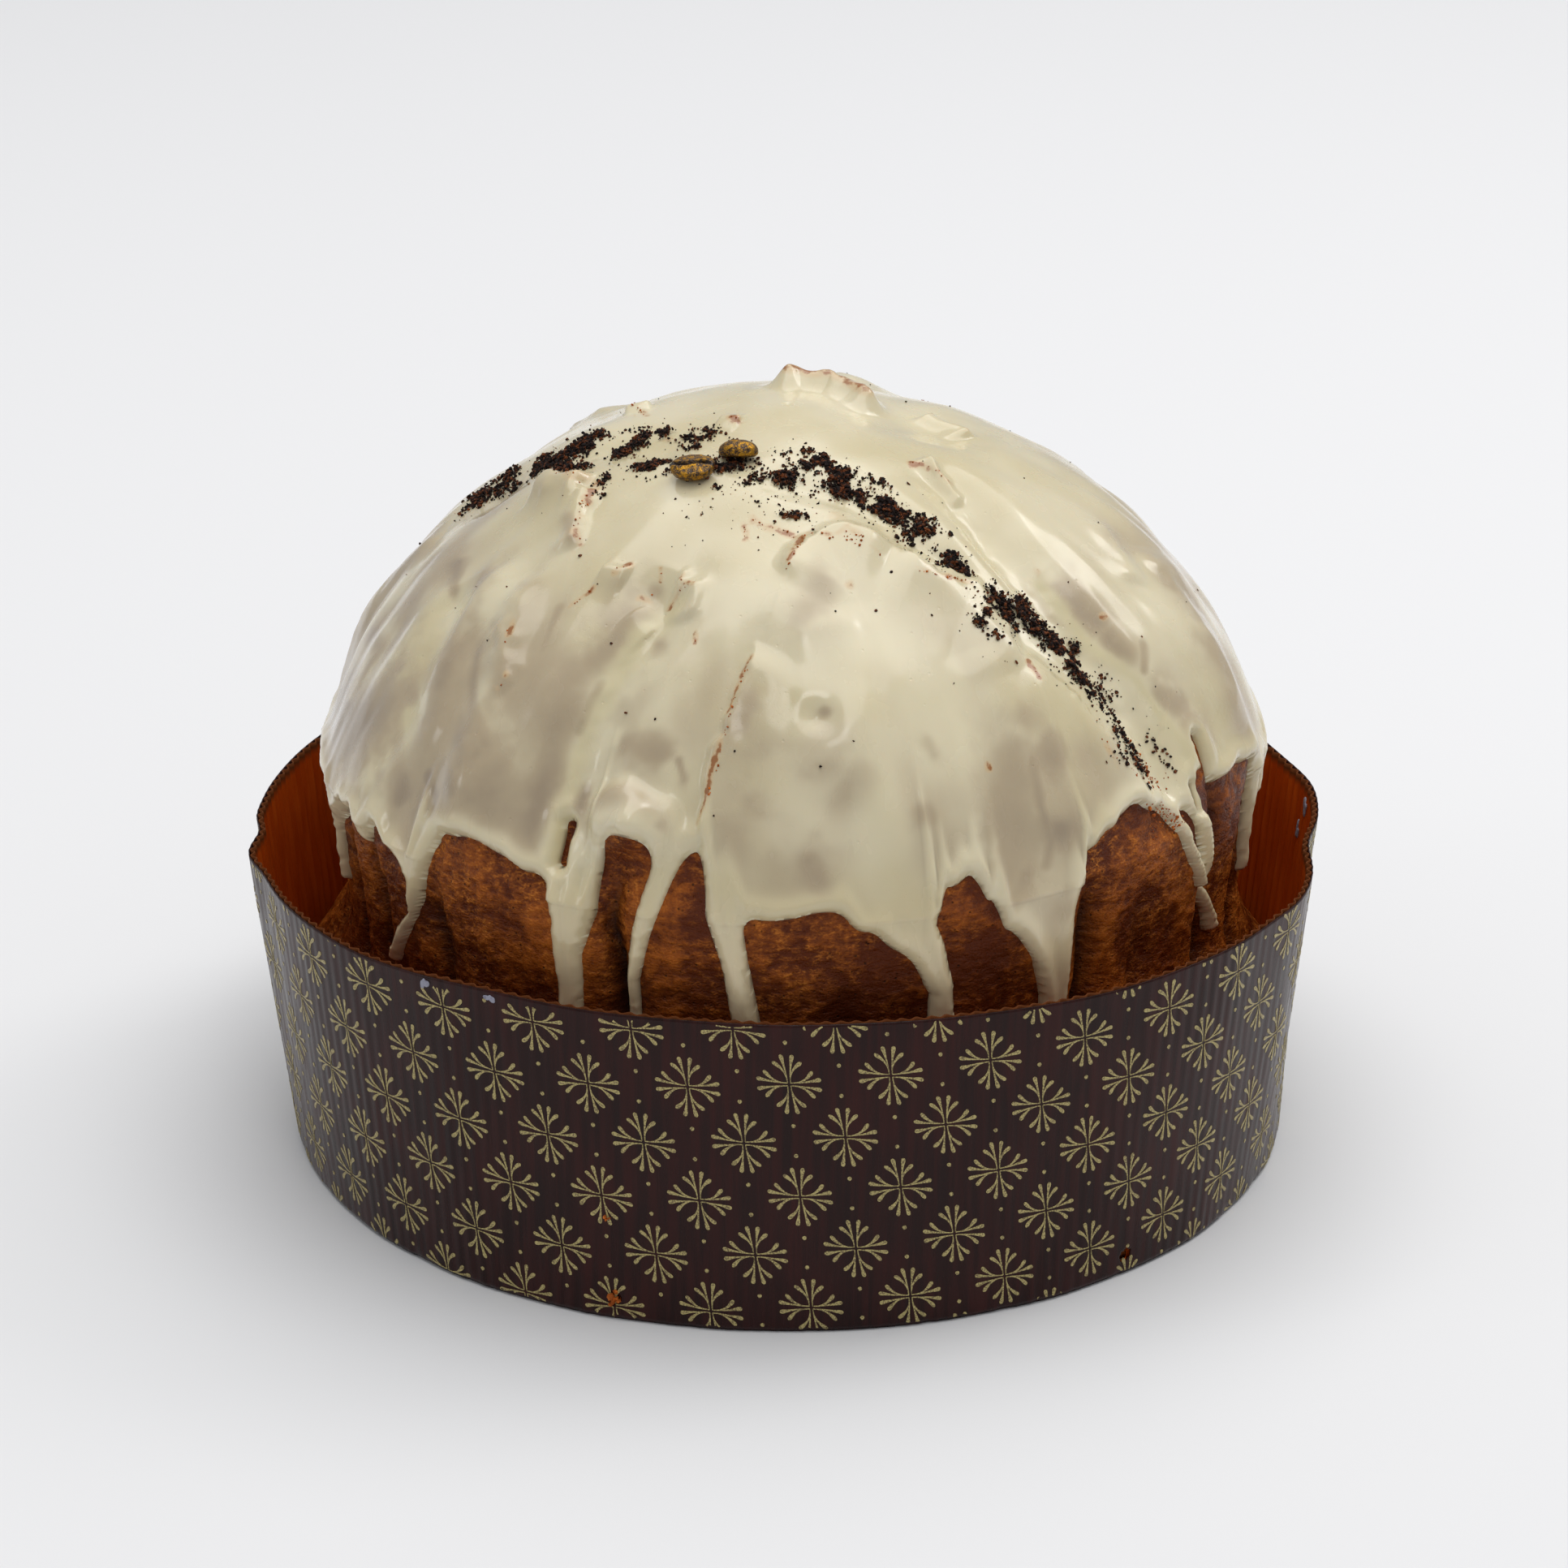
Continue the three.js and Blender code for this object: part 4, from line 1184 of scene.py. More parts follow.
@dataclass
class Mould:
    """The corrugated paper mould: printed liner, fluted inner sheet, base and ornament.

    The ornament's lattice is given as steps in azimuth (radians) and height (millimetres). The
    print starts and ends at the lap seam's free edge.
    """

    columns: int = FLUTES * 8
    liner_paper: float = 0.22
    inner_paper: float = 0.2
    glue_gap: float = 0.12
    flute_depth: float = 0.42
    seam_step: float = 0.9
    hem_radii: tuple[float, ...] = (103.4, 100.0, 97.0, HEM_INNER_RADIUS)
    hem_top: float = 1.0
    hem_bottom: float = 0.02
    disc_points: int = 281
    disc_bottom: float = 1.63
    disc_top: float = 2.6
    disc_pitch: float = 3.0
    step_along: Pair = (0.1876, 1.22)
    step_up: Pair = (-0.0835, -12.73)
    first_rosette: Pair = (0.002, 54.1)
    first_dot: Pair = (-0.0944, 56.69)
    dot_step: Pair = (0.0051, -6.46)
    dot_radius: float = 0.44
    lean: float = math.radians(5.8)
    print_start: float = SEAM_CENTRE - 364.3
    print_end: float = SEAM_CENTRE - 4.7
    print_margins: Pair = (0.7, 0.6)
    ink: float = 0.07
    ink_root: float = 0.1

    def build(self) -> None:
        """Make all pieces of the mould."""
        self.liner = build_mesh("mould_liner", self.liner_shape())
        self.sheet = build_mesh("mould_fluted_sheet", self.sheet_shape())
        self.base = build_mesh("mould_base_disc", self.base_shape())
        self.ornament = build_mesh("mould_ornament", self.ornament_shape(), False)

    def seam(self, azimuth: Array) -> Array:
        """Give the step of the lap seam at the back.

        Args:
            azimuth: Azimuths.

        Returns:
            Lift.
        """
        across = wrap(azimuth - SEAM_CENTRE)
        return self.seam_step * smooth(-4.6, -4.35, across) * (1 - smooth(2.0, 5.0, across))

    def outside(self, azimuth: Array, z: Array) -> Array:
        """Give the liner's outer radius with its faint ribs.

        Args:
            azimuth: Azimuths.
            z: Heights.

        Returns:
            Radii.
        """
        t = np.radians(azimuth)
        slow = MEDIUM.at(azimuth * 1.9, z * 0.5, 0 * z, 14.0)
        ribs = 0.055 * np.cos(FLUTES * t) * (0.6 + 0.5 * slow)
        crimps = SMALL.at(azimuth * 1.83, 0 * z, 0 * z + 3, 4.0)
        pinch = -0.5 * np.maximum(crimps, 0) ** 2 * (1 - smooth(0.0, 3.5, z))
        round_foot = -0.8 * (1 - smooth(0.0, 1.1, z))
        seam = self.seam(azimuth) * smooth(1.5, 5.0, z)
        return wall_radius(azimuth, z) + ribs + 0.25 * slow + pinch + round_foot + seam

    def pierced(self, faces: Array, rows: int, azimuth: Array, heights: Array) -> Array:
        """Open the needle holes through two matching faces of a sheet.

        Args:
            faces: Quads of the ring body whose first rows are its outer face and whose
                next rows are its inner face, from the top down.
            rows: Number of rings in each face.
            azimuth: Azimuths of the columns.
            heights: Heights of the outer face's rings.

        Returns:
            Quads with the holes open and their sides closed.
        """
        n = len(azimuth)
        middle_z = 0.5 * (heights[1:] + heights[:-1])
        holes = np.zeros((rows - 1, n), bool)
        for centre in NEEDLE_HOLES:
            x = wrap(azimuth + 180.0 / n - centre)[None, :] * math.radians(1) * BASE_RADIUS
            torn = 0.45 * SMALL.at(x * 3 + centre, middle_z[:, None] * 3, 0 * x, 2.0)
            holes |= np.hypot(x, middle_z[:, None] - NEEDLE_HEIGHT) < NEEDLE_RADIUS + torn
        grid = faces.reshape(-1, n, 4)
        keep = np.ones(grid.shape[:2], bool)
        keep[: rows - 1] &= ~holes
        keep[rows : 2 * rows - 1] &= ~holes[::-1]
        sides = []
        for k, i in np.argwhere(holes):
            corners = [(k, i), (k, i + 1), (k + 1, i + 1), (k + 1, i)]
            beside = [(k - 1, i), (k, i + 1), (k + 1, i), (k, i - 1)]
            for (p, q), (bk, bi) in zip(zip(corners, corners[1:] + corners[:1]), beside):
                if holes[bk, bi % n]:
                    continue
                outer = [c * n + d % n for c, d in (p, q)]
                inner = [(2 * rows - 1 - c) * n + d % n for c, d in (p, q)]
                sides.append([outer[0], outer[1], inner[1], inner[0]])
        return np.concatenate([grid[keep], np.array(sides, int)])

    def rim_height(self, azimuth: Array) -> Array:
        """Give the liner's upper edge, which is not quite level.

        Args:
            azimuth: Azimuths.

        Returns:
            Heights.
        """
        wavy = MEDIUM.at(azimuth * 1.9, 0 * azimuth, 0 * azimuth, 22.0)
        return MOULD_HEIGHT - 0.3 + 0.25 * wavy + 1.3 * bump(azimuth, -31.0, 15.0)

    def liner_shape(self) -> Shape:
        """Make the printed liner with its turned-in hem.

        Returns:
            The closed shape.
        """
        azimuth = np.linspace(-180, 180, self.columns, endpoint=False)
        top = self.rim_height(azimuth)
        rings = []
        foot = np.append([0.0, 0.006, 0.014], np.linspace(0.022, 0.12, 18))
        shares = np.concatenate([foot, np.linspace(0.16, 0.94, 16), [0.97, 0.99, 1.0]])
        for share in shares:
            rings.append(around(azimuth, self.outside(azimuth, top * share), top * share))
        for share in shares[::-1]:
            z = np.maximum(top * share, 1.2 + 0.3 * share)
            rings.append(around(azimuth, self.outside(azimuth, top * share) - self.liner_paper, z))
        t = np.radians(azimuth)
        pleat = np.maximum(np.cos(t * 74 + 2.2 * np.sin(t * 9)), 0) ** 6
        for radius in self.hem_radii:
            rings.append(around(azimuth, radius, self.hem_top + 0.2 * pleat))
        for radius in self.hem_radii[::-1]:
            rings.append(around(azimuth, radius, self.hem_bottom + 0.3 * pleat))
        faces = ring_faces(len(rings), self.columns, True)
        faces = self.pierced(faces, len(shares), azimuth, shares * MOULD_HEIGHT)
        return Shape(np.stack(rings).reshape(-1, 3), [faces])

    def sheet_shape(self) -> Shape:
        """Make the fluted inner sheet.

        Returns:
            The closed shape.
        """
        azimuth = np.linspace(-180, 180, self.columns, endpoint=False)
        flute = self.flute_depth * np.cos(FLUTES * np.radians(azimuth))
        uneven = SMALL.at(azimuth * 1.9, 0 * azimuth, 0 * azimuth, 9.0)
        top = self.rim_height(azimuth) + 0.18 + 0.12 * uneven
        outer = -self.liner_paper - self.glue_gap - self.flute_depth
        low = np.linspace(1.3, 8.5, 16)
        heights = np.concatenate([np.append(low, np.linspace(14, 60, 8)) / MOULD_HEIGHT, [0.96, 0.985, 1.0]])
        rings = []
        for skin, shares in ((outer, heights), (outer - self.inner_paper, heights[::-1])):
            for share in shares:
                z = top * share
                rings.append(around(azimuth, self.outside(azimuth, z) + skin + flute, z))
        faces = ring_faces(len(rings), self.columns, True)
        faces = self.pierced(faces, len(heights), azimuth, heights * MOULD_HEIGHT)
        cut = np.repeat(np.append(heights, heights[::-1]) > 0.97, self.columns)
        return Shape(np.stack(rings).reshape(-1, 3), [faces], {"cut_edge": cut.astype(float)})

    def base_shape(self) -> Shape:
        """Make the base disc, with its flutes running straight across below.

        Returns:
            The closed shape.
        """
        n = self.disc_points
        spread = np.linspace(-1.0, 1.0, n)
        u, v = np.meshgrid(spread, spread)
        longest = np.maximum(np.abs(u), np.abs(v))
        scale = DISC_RADIUS * longest / np.maximum(np.hypot(u, v), 1e-9)
        x, y = u * scale, v * scale
        ribs = 0.12 * np.cos(2 * math.pi * x / self.disc_pitch)
        low = np.stack([x, y, self.disc_bottom + ribs], -1).reshape(-1, 3)
        high = np.stack([x, y, np.full(x.shape, self.disc_top)], -1).reshape(-1, 3)
        grid = np.arange(n * n).reshape(n, n)
        quads = np.stack([grid[:-1, :-1], grid[:-1, 1:], grid[1:, 1:], grid[1:, :-1]], -1).reshape(-1, 4)
        edge = np.concatenate([grid[0], grid[1:, -1], grid[-1, -2::-1], grid[-2:0:-1, 0]])
        following = np.roll(edge, -1)
        sides = np.stack([edge, following, following + n * n, edge + n * n], -1)
        return Shape(np.concatenate([low, high]), [quads[:, ::-1], quads + n * n, sides])

    @staticmethod
    def ray(angle: float, reach: float, sideways: float, bend: float, head: float) -> tuple[Array, Array]:
        """Draw one ray of a rosette as a slim club with a rounded head.

        Args:
            angle: Direction of its fan in degrees.
            reach: How far its head lies along the fan.
            sideways: How far its head lies beside the fan's middle.
            bend: How late the ray leaves the middle.
            head: Half width of its head.

        Returns:
            Plan points of the ribbon's left and right edges.
        """
        steps = np.array([0.0, 0.12, 0.24, 0.36, 0.48, 0.6, 0.7, 0.79, 0.86, 0.92, 0.965, 0.99, 1.0])
        widths = np.array([0.24, 0.25, 0.27, 0.3, 0.35, 0.43, 0.56, 0.76, 0.93, 1.0, 0.84, 0.5, 0.12]) * head
        start = 0.3
        beside = start * np.sign(sideways)
        t = math.radians(angle)
        u = beside + (sideways - beside) * steps**bend
        v = start + (reach - start) * steps
        x = v * math.sin(t) + u * math.cos(t)
        y = v * math.cos(t) - u * math.sin(t)
        dx, dy = np.gradient(x), np.gradient(y)
        size = np.hypot(dx, dy)
        nx, ny = -dy / size * widths, dx / size * widths
        return np.stack([x + nx, y + ny], -1), np.stack([x - nx, y - ny], -1)

    def rosette(self) -> list[tuple[Array, Array]]:
        """Draw one rosette: four fans of four rays around a small cross.

        Returns:
            Edge pairs of its ribbons.
        """
        ribbons = []
        for quarter in range(4):
            turn = 90.0 * quarter
            for side in (-1, 1):
                ribbons.append(self.ray(turn, 6.3, 1.15 * side, 1.7, 0.43))
                ribbons.append(self.ray(turn, 4.75, 2.85 * side, 2.6, 0.41))
        return ribbons

    def ornament_shape(self) -> Shape:
        """Print the rosettes and dots as thin raised ink.

        Returns:
            The ink's closed shape.
        """
        rosette = [[self.turned(edge) for edge in ribbon] for ribbon in self.rosette()]
        circle = np.radians(np.arange(0, 360, 36))
        dot = self.dot_radius * np.stack([np.cos(circle), np.sin(circle)], -1)
        dot_edges = dot[[1, 2, 3, 4, 5]], dot[[1, 0, 9, 8, 7]]
        first, along, up = (np.array(pair) for pair in (self.first_rosette, self.step_along, self.step_up))
        to_dot = np.array(self.first_dot) - first
        shapes: list[Shape] = []
        for row in range(-2, 7):
            for column in range(-22, 23):
                azimuth, height = first + column * along + row * up
                if not self.print_start - 5 < math.degrees(azimuth) < self.print_end + 5:
                    continue
                if -8 < height < MOULD_HEIGHT + 8:
                    for left, right in rosette:
                        shapes += self.ribbon(azimuth, height, left, right)
                for number in (0, 1):
                    spot = (azimuth, height) + to_dot + number * np.array(self.dot_step)
                    shapes += self.ribbon(*spot, *dot_edges)
        return Shape.joined(shapes)

    def turned(self, edge: Array) -> Array:
        """Turn plan points by the ornament's lean.

        Args:
            edge: Points.

        Returns:
            The turned points.
        """
        cos, sin = math.cos(self.lean), math.sin(self.lean)
        return np.stack([edge[:, 0] * cos - edge[:, 1] * sin, edge[:, 1] - 0.3 * edge[:, 0] * sin], -1)

    def ribbon(self, azimuth: float, height: float, left: Array, right: Array) -> list[Shape]:
        """Lay one inked ribbon on the wall.

        Args:
            azimuth: Azimuth of the ornament's middle, in radians.
            height: Height of its middle.
            left: Left edge in the ornament's plane.
            right: Right edge in the ornament's plane.

        Returns:
            The ribbon's closed shape, or nothing where it would leave the wall.
        """
        z = height + np.stack([left[:, 1], right[:, 1]], 1)
        angle = np.degrees(azimuth + np.stack([left[:, 0], right[:, 0]], 1) / BASE_RADIUS)
        low, high = self.print_margins
        keep = (z > low) & (z < MOULD_HEIGHT - high) & (angle > self.print_start) & (angle < self.print_end)
        kept = np.flatnonzero(keep.all(1))
        if len(kept) == 0 or kept[-1] == kept[0]:
            return []
        rows = slice(kept[0], kept[-1] + 1)
        z, angle = z[rows], angle[rows]
        base = self.outside(angle, z)
        sides = [around(angle, base + self.ink, z), around(angle, base - self.ink_root, z)]
        points = np.concatenate(sides).reshape(-1, 3)
        count = len(z)
        k = np.arange(count - 1)
        last = 2 * count
        front = np.stack([2 * k, 2 * k + 1, 2 * k + 3, 2 * k + 2], -1)
        one = np.stack([2 * k, 2 * k + 2, 2 * k + 2 + last, 2 * k + last], -1)
        two = np.stack([2 * k + 3, 2 * k + 1, 2 * k + 1 + last, 2 * k + 3 + last], -1)
        caps = np.array([[0, last, last + 1, 1], [last - 2, last - 1, 2 * last - 1, 2 * last - 2]])
        faces = np.concatenate([front, front[:, ::-1] + last, one, two, caps])
        normal = np.cross(points[1] - points[0], points[2] - points[0])
        if normal @ np.append(points[0][:2], 0.0) < 0:
            faces = faces[:, ::-1]
        return [Shape(points, [faces])]

    def dress(self, finishes: "Finishes") -> list[bpy.types.Object]:
        """Give the mould its papers and ink.

        Args:
            finishes: All finishes.

        Returns:
            The dressed pieces.
        """
        return [
            dressed(self.liner, finishes.printed_paper, Slot.PRINTED_PAPER, "mould_wall"),
            dressed(self.sheet, finishes.fluted_paper, Slot.PRINTED_PAPER, "mould_wall"),
            dressed(self.ornament, finishes.ink, Slot.PRINTED_PAPER, "mould_wall"),
            dressed(self.base, finishes.base_paper, Slot.BASE_PAPER, "mould_base"),
        ]


# ---- topping and small bits ----


def grain_shape(centres: Array, radii: Array, random: np.random.Generator) -> Shape:
    """Make irregular angular grains.

    Args:
        centres: Middles of the grains.
        radii: Their sizes.
        random: Source of randomness.

    Returns:
        One shape that holds all grains.
    """
    golden = (1 + 5**0.5) / 2
    corners = np.array([
        (-1, golden, 0), (1, golden, 0), (-1, -golden, 0), (1, -golden, 0),
        (0, -1, golden), (0, 1, golden), (0, -1, -golden), (0, 1, -golden),
        (golden, 0, -1), (golden, 0, 1), (-golden, 0, -1), (-golden, 0, 1),
    ])
    corners = corners / np.linalg.norm(corners[0])
    sides = np.array([
        (0, 11, 5), (0, 5, 1), (0, 1, 7), (0, 7, 10), (0, 10, 11), (1, 5, 9), (5, 11, 4),
        (11, 10, 2), (10, 7, 6), (7, 1, 8), (3, 9, 4), (3, 4, 2), (3, 2, 6), (3, 6, 8),
        (3, 8, 9), (4, 9, 5), (2, 4, 11), (6, 2, 10), (8, 6, 7), (9, 8, 1),
    ])
    count = len(centres)
    shape = corners[None] * random.uniform(0.62, 1.25, (count, 12, 1))
    stretch = random.uniform(0.6, 1.35, (count, 1, 3))
    turn = np.linalg.qr(random.normal(size=(count, 3, 3)))[0]
    turn = turn * np.sign(np.linalg.det(turn))[:, None, None]
    points = np.einsum("nij,nkj->nki", turn, shape * stretch) * radii[:, None, None] + centres[:, None]
    faces = sides[None] + 12 * np.arange(count)[:, None, None]
    return Shape(points.reshape(-1, 3), [faces.reshape(-1, 3)])


@dataclass(frozen=True)
class Clump:
    """One patch of ground coffee in plan: place, size, direction and density."""

    x: float
    y: float
    length: float
    width: float
    turn: float
    dense: float


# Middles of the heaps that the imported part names.
HEAPS = (
    (-65, 10), (-58, 4), (-51, 1), (-44, -2), (-38, 1), (-35, -9), (-29, -9), (-20, -12), (-29, -18),
    (-11, -16), (-14, -33), (-7, -30), (-1, -30), (6, -28), (9, -33), (16, -37), (22, -41), (29, -44),
    (35, -46), (39, -52), (46, -53), (52, -54), (57, -56), (62, -57), (66, -58), (70, -59), (73, -60),
)

CLUMPS = tuple(Clump(*row) for row in (
    (-66, 15, 8, 8, -30, 0.4), (-60, 11, 9, 7, -38, 0.8), (-55, 7, 9, 6, -38, 1.0),
    (-50, 2, 9, 6, -37, 1.1), (-44, -8, 13, 6, -58, 1.0), (-45, -1, 6, 4, -23, 0.8),
    (-40, -2, 8, 7, -12, 1.2), (-34, -9, 7, 5, 40, 1.1), (-31, -7, 6, 4, 17, 1.0),
    (-27, -6, 6, 4, -14, 1.1), (-32, -2, 7, 2, -20, 0.7), (-27, -21, 9, 7, -36, 1.2),
    (-18, -11, 6, 7, -45, 0.8), (-20, -15, 7, 2.5, -45, 0.4), (-37, -23, 7, 3, 78, 0.5),
    (-13, -25, 8, 6, -20, 1.2), (-6, -26, 4, 3.5, 0, 1.1), (-8, -31, 6, 2.6, 18, 0.7),
    (-1, -22, 3.5, 1.8, 17, 0.5), (4, -21, 3.5, 2, 3, 0.5), (-1, -29, 7, 5.5, -42, 1.2),
    (6, -25, 9, 4.5, -3, 1.2), (10, -29, 7, 5.6, -24, 1.2), (5, -34, 2, 2, 8, 1.1),
    (-6, -38, 3, 1.6, 3, 0.5), (1, -42, 5.5, 2, -12, 0.6), (11, -33, 7, 3.8, -7, 1.0),
    (17, -35, 9, 5, -23, 1.2), (21, -38, 7, 4.5, -22, 1.1), (26, -38, 6, 3, -6, 0.5),
    (25, -42, 5, 6, -30, 0.9), (30, -41, 5, 5.5, -28, 1.1), (32, -45, 6, 6.5, -16, 1.1),
    (18, -30, 5, 2.4, -29, 0.35), (36, -47, 4, 3, -50, 0.7), (39, -51, 5, 4, -8, 1.0),
    (42, -50, 5, 4, 20, 1.1), (39, -55, 2.4, 2, 39, 1.1), (48, -48, 4.5, 6, -18, 1.2),
    (37, -58, 2.4, 3, -56, 0.6), (44, -52, 6, 2.4, 40, 0.8), (41, -59, 4, 2, -10, 0.4),
    (50, -51, 3, 4, -25, 0.9), (54, -50, 4.5, 7, -6, 1.1), (55, -53, 6, 5.5, -24, 1.0),
    (59, -53, 5, 7.5, 0, 1.2), (60, -47, 2, 3, -8, 0.9), (62, -54, 4, 5, 6, 1.1), (65, -48, 3, 3, -14, 0.9),
    (65, -54, 4, 6, -44, 0.6), (64, -56, 3, 2, 56, 0.9), (69, -49, 5, 4, 18, 0.25),
    (69, -56, 6, 5, 41, 0.3), (67, -61, 4, 2.4, 35, 0.4), (72, -58, 6, 4, 31, 0.35),
    (77, -50, 4, 2.6, -8, 0.3),
))


@dataclass
class Topping:
    """Ground coffee, loose specks, crust crumbs and the two beans."""

    seed: int = 404
    grains_per_area: float = 13.0
    grain_size: float = 0.23
    speck_size: float = 0.17
    lone_specks: tuple[Pair, ...] = (
        (9, -64), (17, -62), (28, -60), (20, -54), (-10, -84), (-14, -90), (2, -93), (6, -86),
        (-35, -62), (-59, -49),
    )
    # Where crumbs gather: plan place, spread and number.
    crumb_spots: tuple[tuple[float, float, float, int], ...] = (
        (72, -60, 2.4, 60), (76, -58, 2.0, 110), (79, -56, 1.6, 70), (13, -49, 1.0, 10),
    )
    # Crumbs stuck to the outside of the paper: azimuth and height.
    stuck_crumbs: Pair = (-19.6, 22.7)

    def build(self) -> None:
        """Make all pieces of the topping."""
        random = np.random.default_rng(self.seed)
        self.clusters = []
        members = [[Clump(x, y, 2.4, 1.8, -30, 0.4)] for x, y in HEAPS]
        for clump in CLUMPS:
            nearest = min(range(len(HEAPS)), key=lambda k: math.dist(HEAPS[k], (clump.x, clump.y)))
            members[nearest].append(clump)
        for number, clumps in enumerate(members, 1):
            shapes = [self.clump_shape(clump, random) for clump in clumps]
            self.clusters.append(build_mesh(f"coffee_heap_{number:02d}", Shape.joined(shapes), False))
        self.specks = build_mesh("coffee_specks", self.speck_shape(random), False)
        self.crumbs = build_mesh("crust_crumbs", self.crumb_shape(random), False)
        self.beans = [build_mesh(f"bean_{k}", form.shape()) for k, form in enumerate(BEANS, 1)]

    def clump_shape(self, clump: Clump, random: np.random.Generator) -> Shape:
        """Strew one clump, gathered into small lumps with gaps between them.

        Args:
            clump: Its place and size.
            random: Source of randomness.

        Returns:
            The grains' shape.
        """
        count = int(clump.length * clump.width * clump.dense * self.grains_per_area) + 6
        spread = random.normal(0, 0.26, (count, 2)) * (clump.length, clump.width)
        turn = math.radians(clump.turn)
        x = clump.x + spread[:, 0] * math.cos(turn) - spread[:, 1] * math.sin(turn)
        y = clump.y + spread[:, 0] * math.sin(turn) + spread[:, 1] * math.cos(turn)
        field = SMALL.layered(x, y, 0 * x, 3.4, 2) + 0.5 * MEDIUM.at(x, y, 0 * x, 1.3)
        kept = field > random.uniform(-0.35, 0.4, count)
        kept[:4] = True
        x, y, field = x[kept], y[kept], field[kept]
        radii = np.clip(random.lognormal(math.log(self.grain_size), 0.42, len(x)), 0.1, 0.6)
        heap = random.uniform(0.0, 1.0, len(x)) * np.clip(1.1 * field, 0.0, 0.8) * min(1.0, clump.dense)
        points, _ = glaze_top(x, y, 0.35 * radii + heap)
        return grain_shape(points, radii, random)

    def speck_shape(self, random: np.random.Generator) -> Shape:
        """Scatter fine specks over the glaze, mostly beside the trail.

        Args:
            random: Source of randomness.

        Returns:
            The specks' shape.
        """
        centres = np.array([(clump.x, clump.y) for clump in CLUMPS])
        near = centres[random.integers(0, len(centres), 560)] + random.normal(0, 3.4, (560, 2))
        below = np.stack([random.normal(-2, 12, 90), random.normal(-38, 5, 90)], -1)
        angle = random.uniform(0, 2 * math.pi, 60)
        reach = 88 * np.sqrt(random.uniform(0.1, 1, 60))
        far = np.stack([reach * np.cos(angle), reach * np.sin(angle)], -1)
        plan = np.concatenate([self.lone_specks, near, below, far])
        plan = plan[np.hypot(plan[:, 0], plan[:, 1]) < 92]
        radii = np.clip(random.lognormal(math.log(self.speck_size), 0.4, len(plan)), 0.08, 0.42)
        radii[: len(self.lone_specks)] = 0.3
        points, _ = glaze_top(plan[:, 0], plan[:, 1], 0.3 * radii)
        return grain_shape(points, radii, random)

    def crumb_shape(self, random: np.random.Generator) -> Shape:
        """Scatter orange crust crumbs where the trail ends and at torn edges.

        Args:
            random: Source of randomness.

        Returns:
            The crumbs' shape.
        """
        parts = [random.normal((x, y), spread, (count, 2)) for x, y, spread, count in self.crumb_spots]
        for patch in TORN:
            points = np.array(patch.path)[:, :2]
            for one, other in zip(points, points[1:]):
                count = int(1.3 * patch.amount * math.dist(one, other))
                share = random.uniform(0, 1, (count, 1))
                parts.append(one + (other - one) * share + random.normal(0, 0.3 * patch.width, (count, 2)))
        plan = np.concatenate(parts)
        plan = plan[np.hypot(plan[:, 0], plan[:, 1]) < 98]
        radii = np.clip(random.lognormal(math.log(self.speck_size), 0.35, len(plan)), 0.08, 0.4)
        points, _ = glaze_top(plan[:, 0], plan[:, 1], 0.3 * radii)
        tuft = random.normal(0, 1, (14, 3)) * (0.7, 0.35, 0.75)
        hole = around(NEEDLE_HOLES[0], BASE_RADIUS + 0.2, NEEDLE_HEIGHT)
        azimuth, height = self.stuck_crumbs
        stuck = around(azimuth, wall_radius(azimuth, height) + 0.3, height)
        spots = np.concatenate([hole + tuft, stuck + 0.5 * tuft[:5]])
        sizes = np.concatenate([random.uniform(0.35, 0.8, 14), random.uniform(0.2, 0.45, 5)])
        return Shape.joined([grain_shape(points, radii, random), grain_shape(spots, sizes, random)])

    def dress(self, finishes: "Finishes") -> list[bpy.types.Object]:
        """Give the topping its finishes.

        Args:
            finishes: All finishes.

        Returns:
            The dressed pieces.
        """
        pieces = []
        for number, heap in enumerate(self.clusters, 1):
            pieces.append(dressed(heap, finishes.grounds, Slot.GROUNDS, f"coffee_crumb_{number:02d}"))
        pieces.append(dressed(self.specks, finishes.grounds, Slot.GROUNDS))
        pieces.append(dressed(self.crumbs, finishes.crumb, Slot.CRUST))
        for number, bean in enumerate(self.beans, 1):
            pieces.append(dressed(bean, finishes.bean, Slot.BEAN, f"coffee_bean_{number}"))
        return pieces


